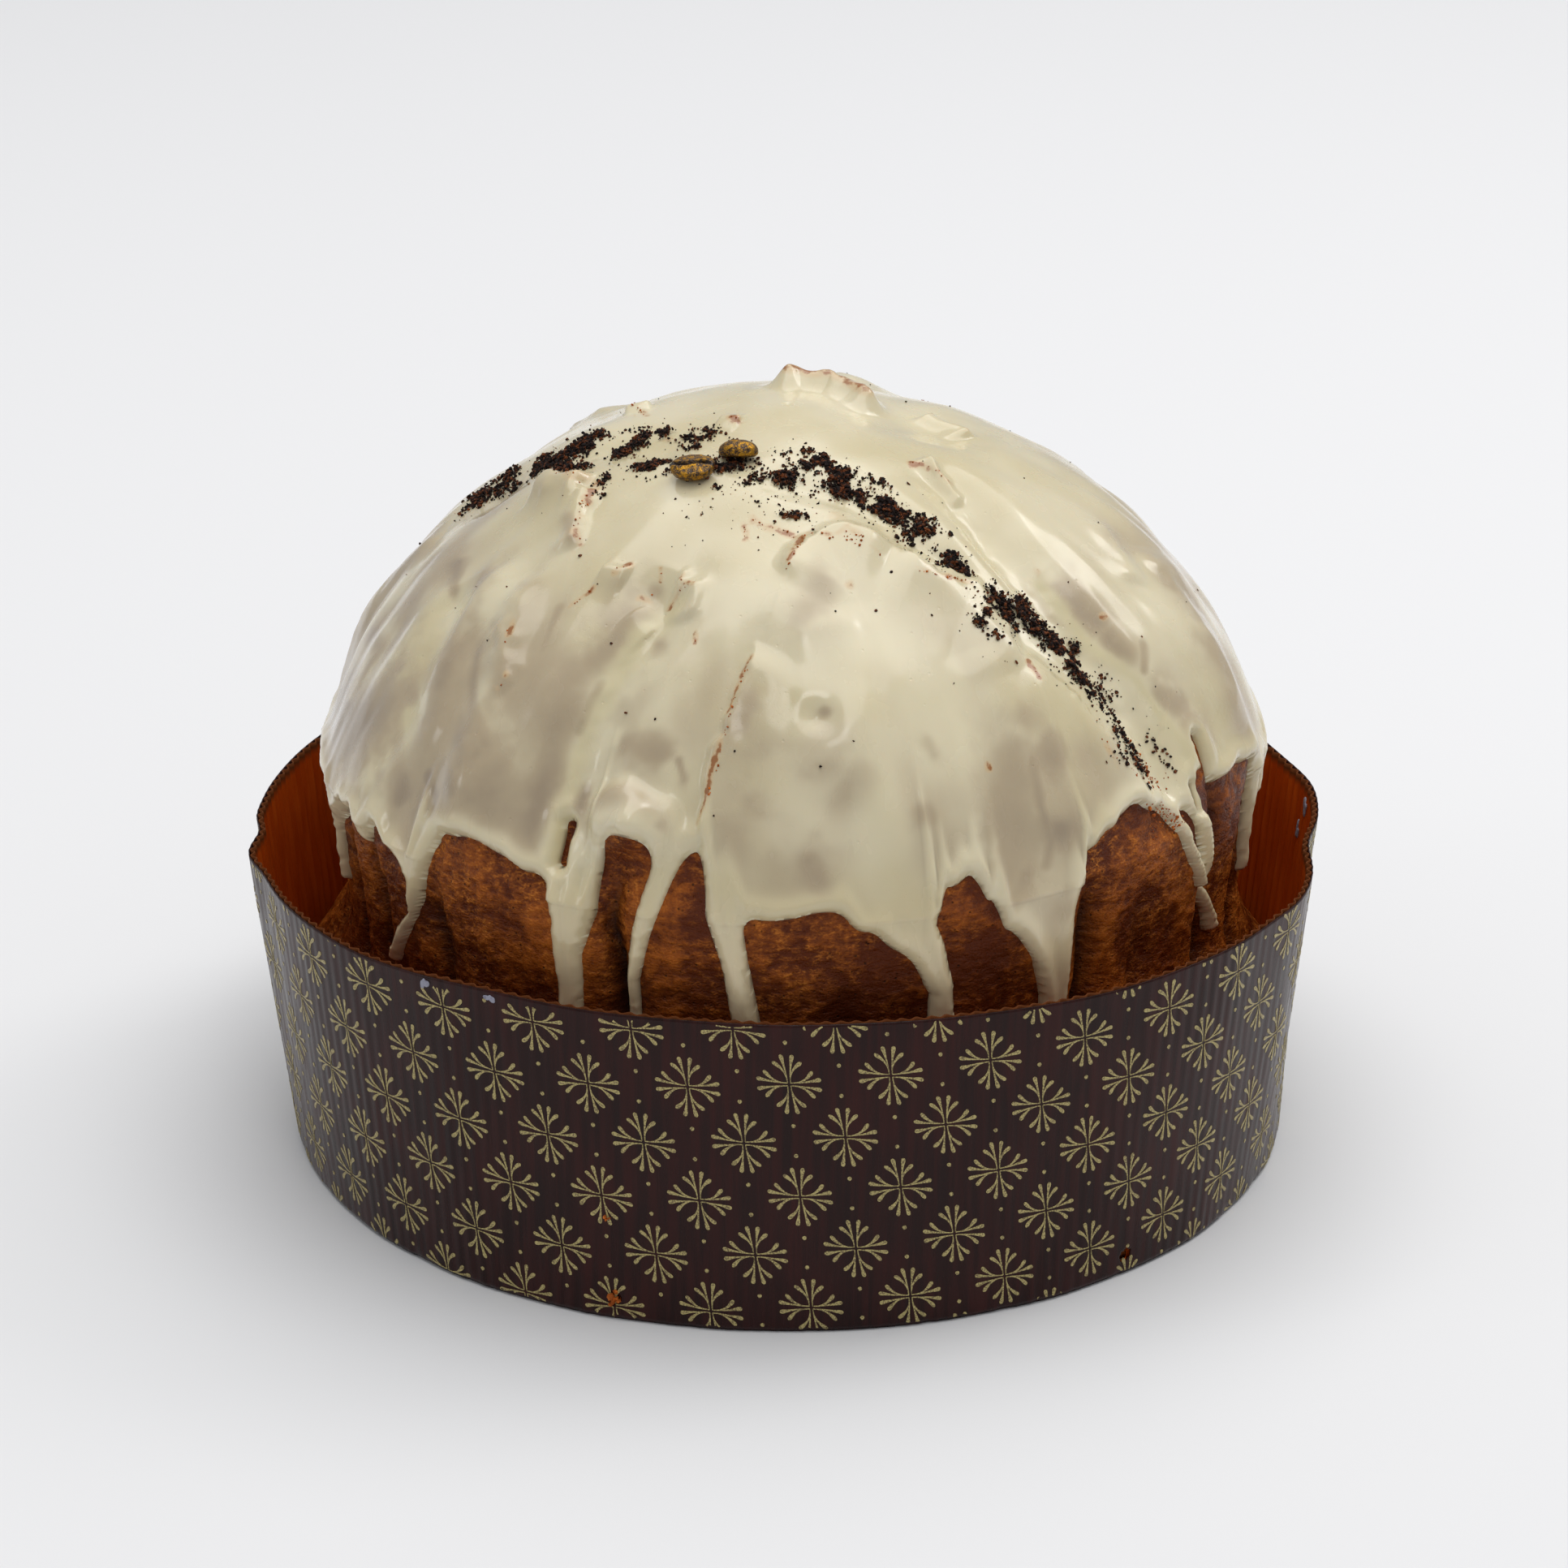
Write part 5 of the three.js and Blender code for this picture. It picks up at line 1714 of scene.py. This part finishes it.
@dataclass(frozen=True)
class BeanForm:
    """One roasted bean: plan place, size, direction, tilt and seat."""

    x: float
    y: float
    length: float
    width: float
    back: float
    turn: float
    tilt: float
    seat: float

    def shape(self) -> Shape:
        """Make the bean: a domed back and a fuller face with a wavy groove along it.

        Returns:
            The closed shape.
        """
        at, normal = (v[0] for v in glaze_top(np.array([self.x]), np.array([self.y]), self.seat))
        flat = np.array([math.cos(math.radians(self.turn)), math.sin(math.radians(self.turn)), 0.0])
        u = flat - (flat @ normal) * normal
        u /= np.linalg.norm(u)
        v = np.cross(normal, u)
        lean = math.radians(self.tilt)
        up = math.cos(lean) * normal - math.sin(lean) * v
        v = np.cross(up, u)
        rows, columns = 44, 64
        a = np.pi * (np.arange(rows) + 0.5) / rows
        b = 2 * np.pi * np.arange(columns) / columns
        a, b = np.meshgrid(a, b, indexing="ij")
        girth = np.sin(a) ** 0.82
        along = -0.5 * self.length * np.cos(a)
        lateral = 0.5 * self.width * girth * np.sin(b)
        depth = np.cos(b) * girth
        path = 0.28 * np.sin(2.4 * along / self.length * math.pi)
        gap = np.abs(lateral - path)
        crowned = 0.8 * np.maximum(depth, 0) ** 0.7
        groove = 0.95 * np.exp(-((gap / 0.34) ** 2)) * smooth(0.5, 0.85, girth)
        lip = 0.22 * np.exp(-(((gap - 0.75) / 0.4) ** 2)) * girth
        lumpy = 0.09 * SMALL.layered(along * 3 + self.x, lateral * 3, depth * 6, 3.0, 3)
        rise = np.where(depth > 0, crowned - groove + lip, self.back * depth) + lumpy
        points = at + along[..., None] * u + lateral[..., None] * v + rise[..., None] * up
        ends = np.stack([at - 0.5 * self.length * u, at + 0.5 * self.length * u])
        tip = rows * columns
        faces = [
            ring_faces(rows, columns),
            fan_faces(tip, 0, columns, below=True),
            fan_faces(tip + 1, tip - columns, columns),
        ]
        # Painted shade: this fold_shade mark darkens the groove and keeps the gold out of it.
        cut = np.exp(-((gap / 0.5) ** 2)) * (depth > 0)
        marks = {"fold_shade": np.concatenate([cut.reshape(-1), [0.0, 0.0]])}
        shape = Shape(np.concatenate([points.reshape(-1, 3), ends]), faces, marks)
        corner, beside, above = (
            block.reshape(-1, 3) - at for block in (points[:-1, :-1], points[:-1, 1:], points[1:, :-1])
        )
        if np.einsum("ij,ij->i", corner, np.cross(beside, above)).sum() < 0:
            shape.faces = [block[:, ::-1] for block in faces]
        return shape


# The first bean lies with its flat face up, the second on that face.
BEANS = (
    BeanForm(-18.6, -28.2, 8.9, 6.6, 3.0, -10.0, 2.0, 2.7),
    BeanForm(-9.8, -23.6, 8.0, 5.6, 2.6, -8.0, 160.0, 1.7),
)


@dataclass(frozen=True)
class Splash:
    """A small smear of glaze on the paper: azimuth, height, size and face."""

    azimuth: float
    z: float
    width: float
    height: float
    inside: bool = False


@dataclass
class Splashes:
    """Smears of glaze on the outside and inside of the paper."""

    smears: tuple[Splash, ...] = (
        Splash(-40.3, 66.0, 0.85, 1.15), Splash(-32.2, 66.5, 1.0, 0.8),
        Splash(97.5, 62.5, 1.2, 1.8, True), Splash(99.0, 56.0, 0.9, 1.6, True),
    )
    columns: int = 40
    # Rings of a smear from its root to its top: share of its size, and rise.
    profile: tuple[Pair, ...] = ((0.98, -0.12), (1.0, 0.02), (0.93, 0.16), (0.7, 0.24), (0.35, 0.2))
    outer_skin: float = 0.05
    inner_skin: float = -1.35

    def build(self) -> None:
        """Make each smear."""
        self.pieces = []
        for number, splash in enumerate(self.smears, 1):
            self.pieces.append(build_mesh(f"glaze_smear_{number}", self.smear(splash, number)))

    def smear(self, splash: Splash, number: int) -> Shape:
        """Make one smear with a ragged round outline.

        Args:
            splash: Its place and size.
            number: Its number, which varies the outline.

        Returns:
            The closed shape.
        """
        turn = np.linspace(0, 2 * math.pi, self.columns, endpoint=False)
        edge = 1 + 0.32 * np.sin(2 * turn + number) + 0.2 * np.sin(3 * turn + 2.1 * number)
        edge = edge + 0.1 * np.sin(5 * turn)
        sign, skin = (-1.0, self.inner_skin) if splash.inside else (1.0, self.outer_skin)
        rings = []
        for share, rise in self.profile:
            x = splash.width * edge * share * np.cos(turn)
            z = splash.z + splash.height * edge * share * np.sin(turn)
            angle = splash.azimuth + sign * x / math.radians(1.0) / 108.0
            rings.append(around(angle, wall_radius(angle, z) + skin + sign * rise, z))
        middle = wall_radius(splash.azimuth, splash.z) + skin
        tips = around(splash.azimuth, middle + sign * np.array([0.0, 0.2]), splash.z)
        points = np.concatenate([*rings, tips])
        first_tip = len(rings) * self.columns
        faces = [
            ring_faces(len(rings), self.columns),
            fan_faces(first_tip, 0, self.columns, below=True),
            fan_faces(first_tip + 1, first_tip - self.columns, self.columns),
        ]
        return Shape(points, faces)

    def dress(self, finishes: "Finishes") -> list[bpy.types.Object]:
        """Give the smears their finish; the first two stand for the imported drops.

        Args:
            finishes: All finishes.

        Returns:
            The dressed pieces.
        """
        nodes = (["glaze_drop_1"], ["glaze_drop_2"], [], [])
        pairs = zip(self.pieces, nodes)
        return [dressed(piece, finishes.smear, Slot.GLAZE, *names) for piece, names in pairs]


# ---- material wiring ----

Value = Union[float, int, "Wire"]


@dataclass(frozen=True)
class Wire:
    """A node's output that takes part in sums."""

    graph: "Graph"
    socket: bpy.types.NodeSocket

    def sum_with(self, operation: str, other: Value, swapped: bool = False) -> "Wire":
        """Add a Math node behind this output.

        Args:
            operation: The Math node's operation.
            other: The other value.
            swapped: Whether the other value goes in front.

        Returns:
            The node's output.
        """
        first, second = (other, self) if swapped else (self, other)
        return self.graph.node("ShaderNodeMath", {"operation": operation}, {0: first, 1: second})

    def __add__(self, other: Value) -> "Wire":
        """Add a value, on either side."""
        return self.sum_with("ADD", other)

    def __sub__(self, other: Value) -> "Wire":
        """Take a value away."""
        return self.sum_with("SUBTRACT", other)

    def __rsub__(self, other: Value) -> "Wire":
        """Take this away from a value."""
        return self.sum_with("SUBTRACT", other, swapped=True)

    def __mul__(self, other: Value) -> "Wire":
        """Multiply by a value, on either side."""
        return self.sum_with("MULTIPLY", other)

    def __pow__(self, other: Value) -> "Wire":
        """Raise to a power."""
        return self.sum_with("POWER", other)

    __radd__ = __add__
    __rmul__ = __mul__

    def ease(self, low: float, high: float, start: float = 0.0, end: float = 1.0) -> "Wire":
        """Map a range smoothly.

        Args:
            low: Where the result leaves its start.
            high: Where it reaches its end.
            start: First result.
            end: Last result.

        Returns:
            The mapped output.
        """
        settings = {"interpolation_type": "SMOOTHSTEP"}
        values = {0: self, 1: low, 2: high, 3: start, 4: end}
        return self.graph.node("ShaderNodeMapRange", settings, values)


def linear(red: int, green: int, blue: int) -> Colour:
    """Turn an 8-bit display colour into a linear one.

    Args:
        red: Red from 0 to 255.
        green: Green from 0 to 255.
        blue: Blue from 0 to 255.

    Returns:
        The linear colour.
    """
    def part(value: int) -> float:
        """Turn one 8-bit part into a linear one."""
        share = value / 255.0
        return share / 12.92 if share <= 0.04045 else ((share + 0.055) / 1.055) ** 2.4

    return part(red), part(green), part(blue)


class Graph:
    """A material's node tree around one Principled shader."""

    # Sockets of the Mix node's colour form.
    MIX_SHARE = 0
    MIX_FIRST = 6
    MIX_SECOND = 7
    MIX_COLOUR = 2

    def __init__(self, name: str) -> None:
        """Start a material.

        Args:
            name: The material's name.
        """
        self.material = bpy.data.materials.new(name)
        self.material.use_nodes = True
        self.tree = self.material.node_tree
        self.shader = self.tree.nodes["Principled BSDF"]

    def node(self, kind: str, settings: dict, values: dict, output: Union[int, str] = 0) -> Wire:
        """Add one node.

        Args:
            kind: Its type.
            settings: Its own properties.
            values: Numbers, colours or wires for its inputs, by index or name.
            output: The output to hand back.

        Returns:
            The output.
        """
        node = self.tree.nodes.new(kind)
        for name, value in settings.items():
            setattr(node, name, value)
        for name, value in values.items():
            self.feed(node.inputs[name], value)
        return Wire(self, node.outputs[output])

    def feed(self, socket: bpy.types.NodeSocket, value: object) -> None:
        """Set or link one input.

        Args:
            socket: The input.
            value: A number, colour or wire.
        """
        if isinstance(value, Wire):
            self.tree.links.new(value.socket, socket)
        elif isinstance(value, tuple) and len(value) == 3 and len(socket.default_value) == 4:
            socket.default_value = (*value, 1.0)
        else:
            socket.default_value = value

    def set(self, **values: object) -> None:
        """Set the shader's inputs, with underscores for spaces.

        Args:
            **values: Numbers, colours or wires.
        """
        for name, value in values.items():
            self.feed(self.shader.inputs[name.replace("_", " ")], value)

    def mark(self, name: str) -> Wire:
        """Read a mesh's mark.

        Args:
            name: The mark.

        Returns:
            Its value.
        """
        return self.node("ShaderNodeAttribute", {"attribute_name": name}, {}, "Fac")

    def position(self, stretch: Colour = (1.0, 1.0, 1.0)) -> Wire:
        """Give object coordinates in millimetres, stretched.

        Args:
            stretch: Factor for each axis.

        Returns:
            The coordinates.
        """
        spot = self.node("ShaderNodeTexCoord", {}, {}, "Object")
        scale = tuple(part / MM for part in stretch)
        return self.node("ShaderNodeVectorMath", {"operation": "MULTIPLY"}, {0: spot, 1: scale})

    def noise(self, size: float, detail: float, stretch: Colour = (1.0, 1.0, 1.0)) -> Wire:
        """Add noise with lumps of a given size.

        Args:
            size: Size of a lump in millimetres.
            detail: Number of finer layers.
            stretch: Factor for each axis.

        Returns:
            Values of about 0 to 1.
        """
        values = {"Vector": self.position(stretch), "Scale": 1.0 / size, "Detail": detail}
        return self.node("ShaderNodeTexNoise", {}, values, "Fac")

    def cells(self, size: float) -> Wire:
        """Give the distance to scattered points.

        Args:
            size: Distance between the points in millimetres.

        Returns:
            The distance.
        """
        values = {"Vector": self.position(), "Scale": 1.0 / size}
        return self.node("ShaderNodeTexVoronoi", {}, values, "Distance")

    def blend(self, share: Value, first: Union[Colour, Wire], second: Union[Colour, Wire]) -> Wire:
        """Mix two colours.

        Args:
            share: How much of the second.
            first: First colour.
            second: Second colour.

        Returns:
            The mixed colour.
        """
        settings = {"data_type": "RGBA", "clamp_factor": True}
        values = {self.MIX_SHARE: share, self.MIX_FIRST: first, self.MIX_SECOND: second}
        return self.node("ShaderNodeMix", settings, values, self.MIX_COLOUR)

    def raised(self, height: Wire, depth: float, strength: float = 1.0) -> None:
        """Feed a bump to the shader's normal.

        Args:
            height: Height from 0 to 1.
            depth: Real height in millimetres.
            strength: Strength of the effect.
        """
        values = {"Strength": strength, "Distance": depth * MM, "Height": height}
        self.set(Normal=self.node("ShaderNodeBump", {}, values))


# ---- finishes ----


class Finish:
    """What all finishes share."""

    def make(self, name: str) -> bpy.types.Material:
        """Build the material.

        Args:
            name: The material's name.

        Returns:
            The material.
        """
        graph = Graph(name)
        self.paint(graph)
        return graph.material


@dataclass(frozen=True)
class GlazeFinish(Finish):
    """White icing: satin, slightly see-through, darker where thin and orange where torn; the thin mark also
    carries painted shade on the left flank and painted highlights.
    """

    thick: Colour = linear(221, 210, 178)
    milky: Colour = linear(207, 194, 156)
    thin: Colour = linear(182, 165, 136)
    dusky: Colour = linear(150, 133, 112)
    warm: Colour = linear(218, 198, 158)
    pool: Colour = linear(210, 198, 158)
    torn: Colour = linear(204, 176, 134)
    toasted: Colour = linear(150, 92, 42)

    def paint(self, graph: Graph) -> None:
        """Wire the finish.

        Args:
            graph: The material's graph.
        """
        broad = graph.noise(26.0, 2.0)
        cloudy = graph.noise(7.0, 3.0, (1.0, 1.0, 0.45))
        fine = graph.noise(1.6, 3.0)
        thin = graph.mark("thin") + (cloudy - 0.5) * 0.5 * graph.mark("thin")
        white = graph.blend(broad.ease(0.35, 0.7), self.thick, self.milky)
        # The thin and dusky tones show crust through thin glaze, and also paint shade on the left flank.
        veiled = graph.blend(thin.ease(0.0, 0.55), white, self.thin)
        shaded = graph.blend(thin.ease(0.45, 1.0) * 0.8, veiled, self.dusky)
        warmed = graph.blend(graph.mark("drip") * 0.7, shaded, self.warm)
        pooled = graph.blend(graph.mark("pooled") * 0.75, warmed, self.pool)
        opened = graph.mark("bare").ease(0.2, 0.75)
        core = (graph.mark("bare") + (fine - 0.5) * 1.5).ease(0.6, 0.95)
        colour = graph.blend(core * 0.9, graph.blend(opened * 0.75, pooled, self.torn), self.toasted)
        graph.set(Base_Color=colour, Roughness=cloudy.ease(0.3, 0.75, 0.15, 0.34))
        graph.set(Subsurface_Weight=0.2, Subsurface_Radius=(1.0, 0.62, 0.36), Subsurface_Scale=0.002)
        graph.set(Coat_Weight=0.42, Coat_Roughness=0.12, IOR=1.45)
        pocks = graph.cells(4.2).ease(0.0, 0.09) * 0.8
        froth = graph.cells(0.75).ease(0.0, 0.3) * broad.ease(0.5, 0.6) * 0.16
        graph.raised(fine * 0.08 + cloudy * 0.4 + pocks + froth, 0.22, 0.5)


@dataclass(frozen=True)
class CrustFinish(Finish):
    """Baked crust: brown, finely creped, with painted shade in the creases, pits and hollows and painted
    highlights on the crests.
    """

    golden: Colour = linear(212, 132, 52)
    baked: Colour = linear(166, 88, 24)
    dark: Colour = linear(88, 36, 8)
    crevice_shade: Colour = linear(26, 8, 3)

    def paint(self, graph: Graph) -> None:
        """Wire the finish.

        Args:
            graph: The material's graph.
        """
        broad = graph.noise(16.0, 3.0)
        crepe = graph.noise(2.3, 6.0, (1.0, 1.0, 1.9))
        specks = graph.noise(0.6, 4.0, (1.0, 1.0, 1.6))
        pores = graph.cells(1.7).ease(0.05, 0.2)
        # Raised wrinkles and crepe are painted lighter and their hollows darker, painted light and shade
        # mixed with random tone; the golden crests are partly golden crust and partly painted highlight.
        high = graph.mark("wrinkle") * 0.5 + crepe * 0.95 + specks * 0.45 + broad * 0.9 - 0.78
        tone = graph.blend(high.ease(0.1, 0.85), self.dark, self.baked)
        crest_highlights = specks.ease(0.4, 0.7) * crepe.ease(0.42, 0.7) * broad.ease(0.35, 0.65)
        warm = graph.blend(crest_highlights * 0.9, tone, self.golden)
        # Painted shade: the pits and, through the fold_shade mark, the creases are darkened to near black.
        pitted = graph.blend((1.0 - pores) * crepe.ease(0.5, 0.55) * 0.85, warm, self.crevice_shade)
        colour = graph.blend(graph.mark("fold_shade") ** 1.6 * 0.9, pitted, self.crevice_shade)
        graph.set(Base_Color=colour, Roughness=crepe.ease(0.3, 0.7, 0.25, 0.5), Specular_IOR_Level=0.17)
        graph.set(Subsurface_Weight=0.06, Subsurface_Radius=(1.0, 0.4, 0.2), Subsurface_Scale=0.001)
        graph.raised(crepe * 0.9 + specks * 0.5 + pores * 0.35, 0.7, 1.0)


@dataclass(frozen=True)
class PaperFinish(Finish):
    """Brown baking paper, varnished or plain, streaked along its flutes."""

    ground: Colour
    streak: Colour
    roughness: float
    ior: float
    upright: bool = True
    cut: Colour = linear(104, 58, 30)

    def paint(self, graph: Graph) -> None:
        """Wire the finish.

        Args:
            graph: The material's graph.
        """
        stretch = (1.0, 1.0, 0.05) if self.upright else (1.0, 0.05, 1.0)
        streaks = graph.noise(1.7, 3.0, stretch)
        clouds = graph.noise(16.0, 3.0)
        grain = graph.noise(0.35, 2.0)
        share = streaks.ease(0.35, 0.7) * 0.65 + clouds.ease(0.4, 0.7) * 0.35
        face = graph.blend(share, self.ground, self.streak)
        graph.set(Base_Color=graph.blend(graph.mark("cut_edge"), face, self.cut))
        graph.set(Roughness=streaks.ease(0.3, 0.7, self.roughness - 0.06, self.roughness + 0.1))
        graph.set(IOR=self.ior, Specular_IOR_Level=0.5)
        graph.raised(streaks * 0.8 + grain * 0.25, 0.09, 0.6)


@dataclass(frozen=True)
class InkFinish(Finish):
    """Dull gold ink, speckled where the print is thin."""

    gold: Colour = linear(182, 167, 110)
    worn: Colour = linear(112, 96, 66)

    def paint(self, graph: Graph) -> None:
        """Wire the finish.

        Args:
            graph: The material's graph.
        """
        specks = graph.noise(0.28, 2.0)
        graph.set(Base_Color=graph.blend(specks.ease(0.42, 0.64), self.gold, self.worn))
        graph.set(Roughness=0.36, IOR=1.35)


@dataclass(frozen=True)
class BeanFinish(Finish):
    """Roasted bean brushed with gold dust, with painted shade in its groove."""

    roast: Colour = linear(48, 27, 7)
    dust: Colour = linear(196, 142, 38)
    groove: Colour = linear(26, 12, 4)

    def paint(self, graph: Graph) -> None:
        """Wire the finish.

        Args:
            graph: The material's graph.
        """
        patches = graph.noise(1.1, 4.0)
        glitter = graph.noise(0.3, 2.0)
        dusting = patches.ease(0.45, 0.62) * 0.55 + glitter.ease(0.5, 0.62) * 0.5
        gold = dusting * (1.0 - graph.mark("fold_shade"))
        body = graph.blend(gold, self.roast, self.dust)
        # The fold_shade mark paints shade into the groove.
        graph.set(Base_Color=graph.blend(graph.mark("fold_shade"), body, self.groove))
        graph.set(Metallic=gold.ease(0.2, 0.8, 0.35, 0.9), Roughness=patches.ease(0.3, 0.7, 0.22, 0.4))
        graph.raised(patches * 0.8 + glitter * 0.4, 0.3, 0.9)


@dataclass(frozen=True)
class GroundsFinish(Finish):
    """Dry ground coffee, or toasted crumbs of crust."""

    dark: Colour = linear(22, 11, 8)
    light: Colour = linear(122, 66, 32)

    def paint(self, graph: Graph) -> None:
        """Wire the finish.

        Args:
            graph: The material's graph.
        """
        tones = graph.noise(0.9, 3.0)
        graph.set(Base_Color=graph.blend(tones.ease(0.48, 0.7), self.dark, self.light))
        graph.set(Roughness=0.75, Specular_IOR_Level=0.2)
        graph.raised(graph.noise(0.25, 2.0), 0.1, 0.7)


class Finishes:
    """All materials of the object."""

    def __init__(self) -> None:
        """Make every material."""
        printed = PaperFinish(linear(33, 14, 12), linear(54, 20, 17), 0.26, 1.27)
        # The fluted sheet's orange is its own brown made brighter, to paint the glow of light shining
        # through the paper.
        fluted = PaperFinish(linear(182, 70, 12), linear(206, 92, 22), 0.6, 1.12)
        plain = PaperFinish(linear(120, 66, 34), linear(134, 78, 42), 0.7, 1.3, upright=False)
        milky = GroundsFinish(linear(150, 150, 164), linear(120, 118, 134))
        toasted = GroundsFinish(linear(150, 74, 22), linear(206, 112, 40))
        self.glaze = GlazeFinish().make("glaze")
        self.smear = milky.make("glaze_smear")
        self.crust = CrustFinish().make("crust")
        self.printed_paper = printed.make("printed_paper")
        self.fluted_paper = fluted.make("fluted_paper")
        self.base_paper = plain.make("base_paper")
        self.ink = InkFinish().make("ink")
        self.bean = BeanFinish().make("coffee_bean")
        self.grounds = GroundsFinish().make("ground_coffee")
        self.crumb = toasted.make("crust_crumb")


# ---- studio ----


@dataclass(frozen=True)
class Lamp:
    """A square soft light: its place, what it faces, its size and power."""

    name: str
    place: SpacePoint
    target: SpacePoint
    size: float
    watts: float
    colour: Colour = (1.0, 1.0, 1.0)


@dataclass
class Studio:
    """The pale floor, soft lights and camera, in metres."""

    lamps: tuple[Lamp, ...] = (
        Lamp("overhead_softbox", (0.2, 0.25, 1.9), (0.0, 0.0, 0.05), 2.3, 31.0, (1.0, 0.99, 0.975)),
        Lamp("right_softbox", (1.5, 0.75, 1.6), (0.0, 0.0, 0.08), 0.7, 6.0, (1.0, 0.99, 0.97)),
        Lamp("left_softbox", (-1.7, -0.35, 0.75), (0.0, 0.0, 0.08), 0.36, 1.0, (0.96, 0.98, 1.0)),
        Lamp("front_softbox", (0.15, -1.0, 1.45), (0.0, 0.0, 0.1), 0.34, 1.3, (1.0, 0.99, 0.98)),
    )
    floor_reach: float = 6.0
    floor_drop: float = 0.00002
    floor_colour: Colour = (0.80, 0.80, 0.81)
    sky_colour: Colour = (0.95, 0.97, 1.0)
    sky_strength: float = 0.44
    camera_distance: float = 1.1
    camera_rise: float = math.radians(22.5)
    camera_target: SpacePoint = (0.0, 0.0, 0.070)
    camera_lens: float = 120.2
    camera_shift: Pair = (-0.0026, 0.0104)

    def build(self) -> None:
        """Set up the floor, the lights and the camera."""
        corners = np.array([(-1, -1, 0), (1, -1, 0), (1, 1, 0), (-1, 1, 0)]) * self.floor_reach
        corners[:, 2] = -self.floor_drop
        floor = build_mesh("studio_floor", Shape(corners / MM, [np.array([[0, 1, 2, 3]])]), False)
        paint = Graph("studio_floor")
        paint.set(Base_Color=self.floor_colour, Roughness=0.9, Specular_IOR_Level=0.1)
        floor.data.materials.append(paint.material)
        for lamp in self.lamps:
            self.light(lamp)
        world = bpy.data.worlds.new("soft_sky")
        bpy.context.scene.world = world
        world.use_nodes = True
        backdrop = world.node_tree.nodes["Background"]
        backdrop.inputs["Color"].default_value = (*self.sky_colour, 1.0)
        backdrop.inputs["Strength"].default_value = self.sky_strength
        self.camera()
        bpy.context.scene.view_settings.view_transform = "Standard"

    @staticmethod
    def light(lamp: Lamp) -> None:
        """Add one soft light.

        Args:
            lamp: Its description.
        """
        data = bpy.data.lights.new(lamp.name, "AREA")
        data.shape = "SQUARE"
        data.size = lamp.size
        data.energy = lamp.watts
        data.color = lamp.colour
        held(data, lamp.place, lamp.target)

    def camera(self) -> None:
        """Add the camera, above and in front of the object."""
        data = bpy.data.cameras.new("camera")
        data.sensor_width = 36.0
        data.lens = self.camera_lens
        data.shift_x, data.shift_y = self.camera_shift
        data.clip_end = 50.0
        back = self.camera_distance * math.cos(self.camera_rise)
        up = self.camera_target[2] + self.camera_distance * math.sin(self.camera_rise)
        bpy.context.scene.camera = held(data, (0.0, -back, up), self.camera_target)


def held(data: bpy.types.ID, spot: SpacePoint, target: SpacePoint) -> bpy.types.Object:
    """Put a lamp or the camera in its place.

    Args:
        data: The lamp or camera.
        spot: Its place.
        target: What it faces.

    Returns:
        The object that holds it.
    """
    holder = bpy.data.objects.new(data.name, data)
    bpy.context.scene.collection.objects.link(holder)
    turn = (Vector(spot) - Vector(target)).to_track_quat("Z", "Y")
    holder.matrix_world = Matrix.LocRotScale(Vector(spot), turn, None)
    return holder


# ---- making ----


def main() -> None:
    """Build, dress and report the whole object."""
    logging.basicConfig(level=logging.INFO, format="%(name)s: %(message)s")
    finishes = Finishes()
    for section in (Mould(), Loaf(), Glaze(), Topping(), Splashes()):
        section.build()
        for piece in section.dress(finishes):
            LOG.info("%s: %d faces", piece.name, len(piece.data.polygons))
    Studio().build()


if __name__ == "__main__":
    main()
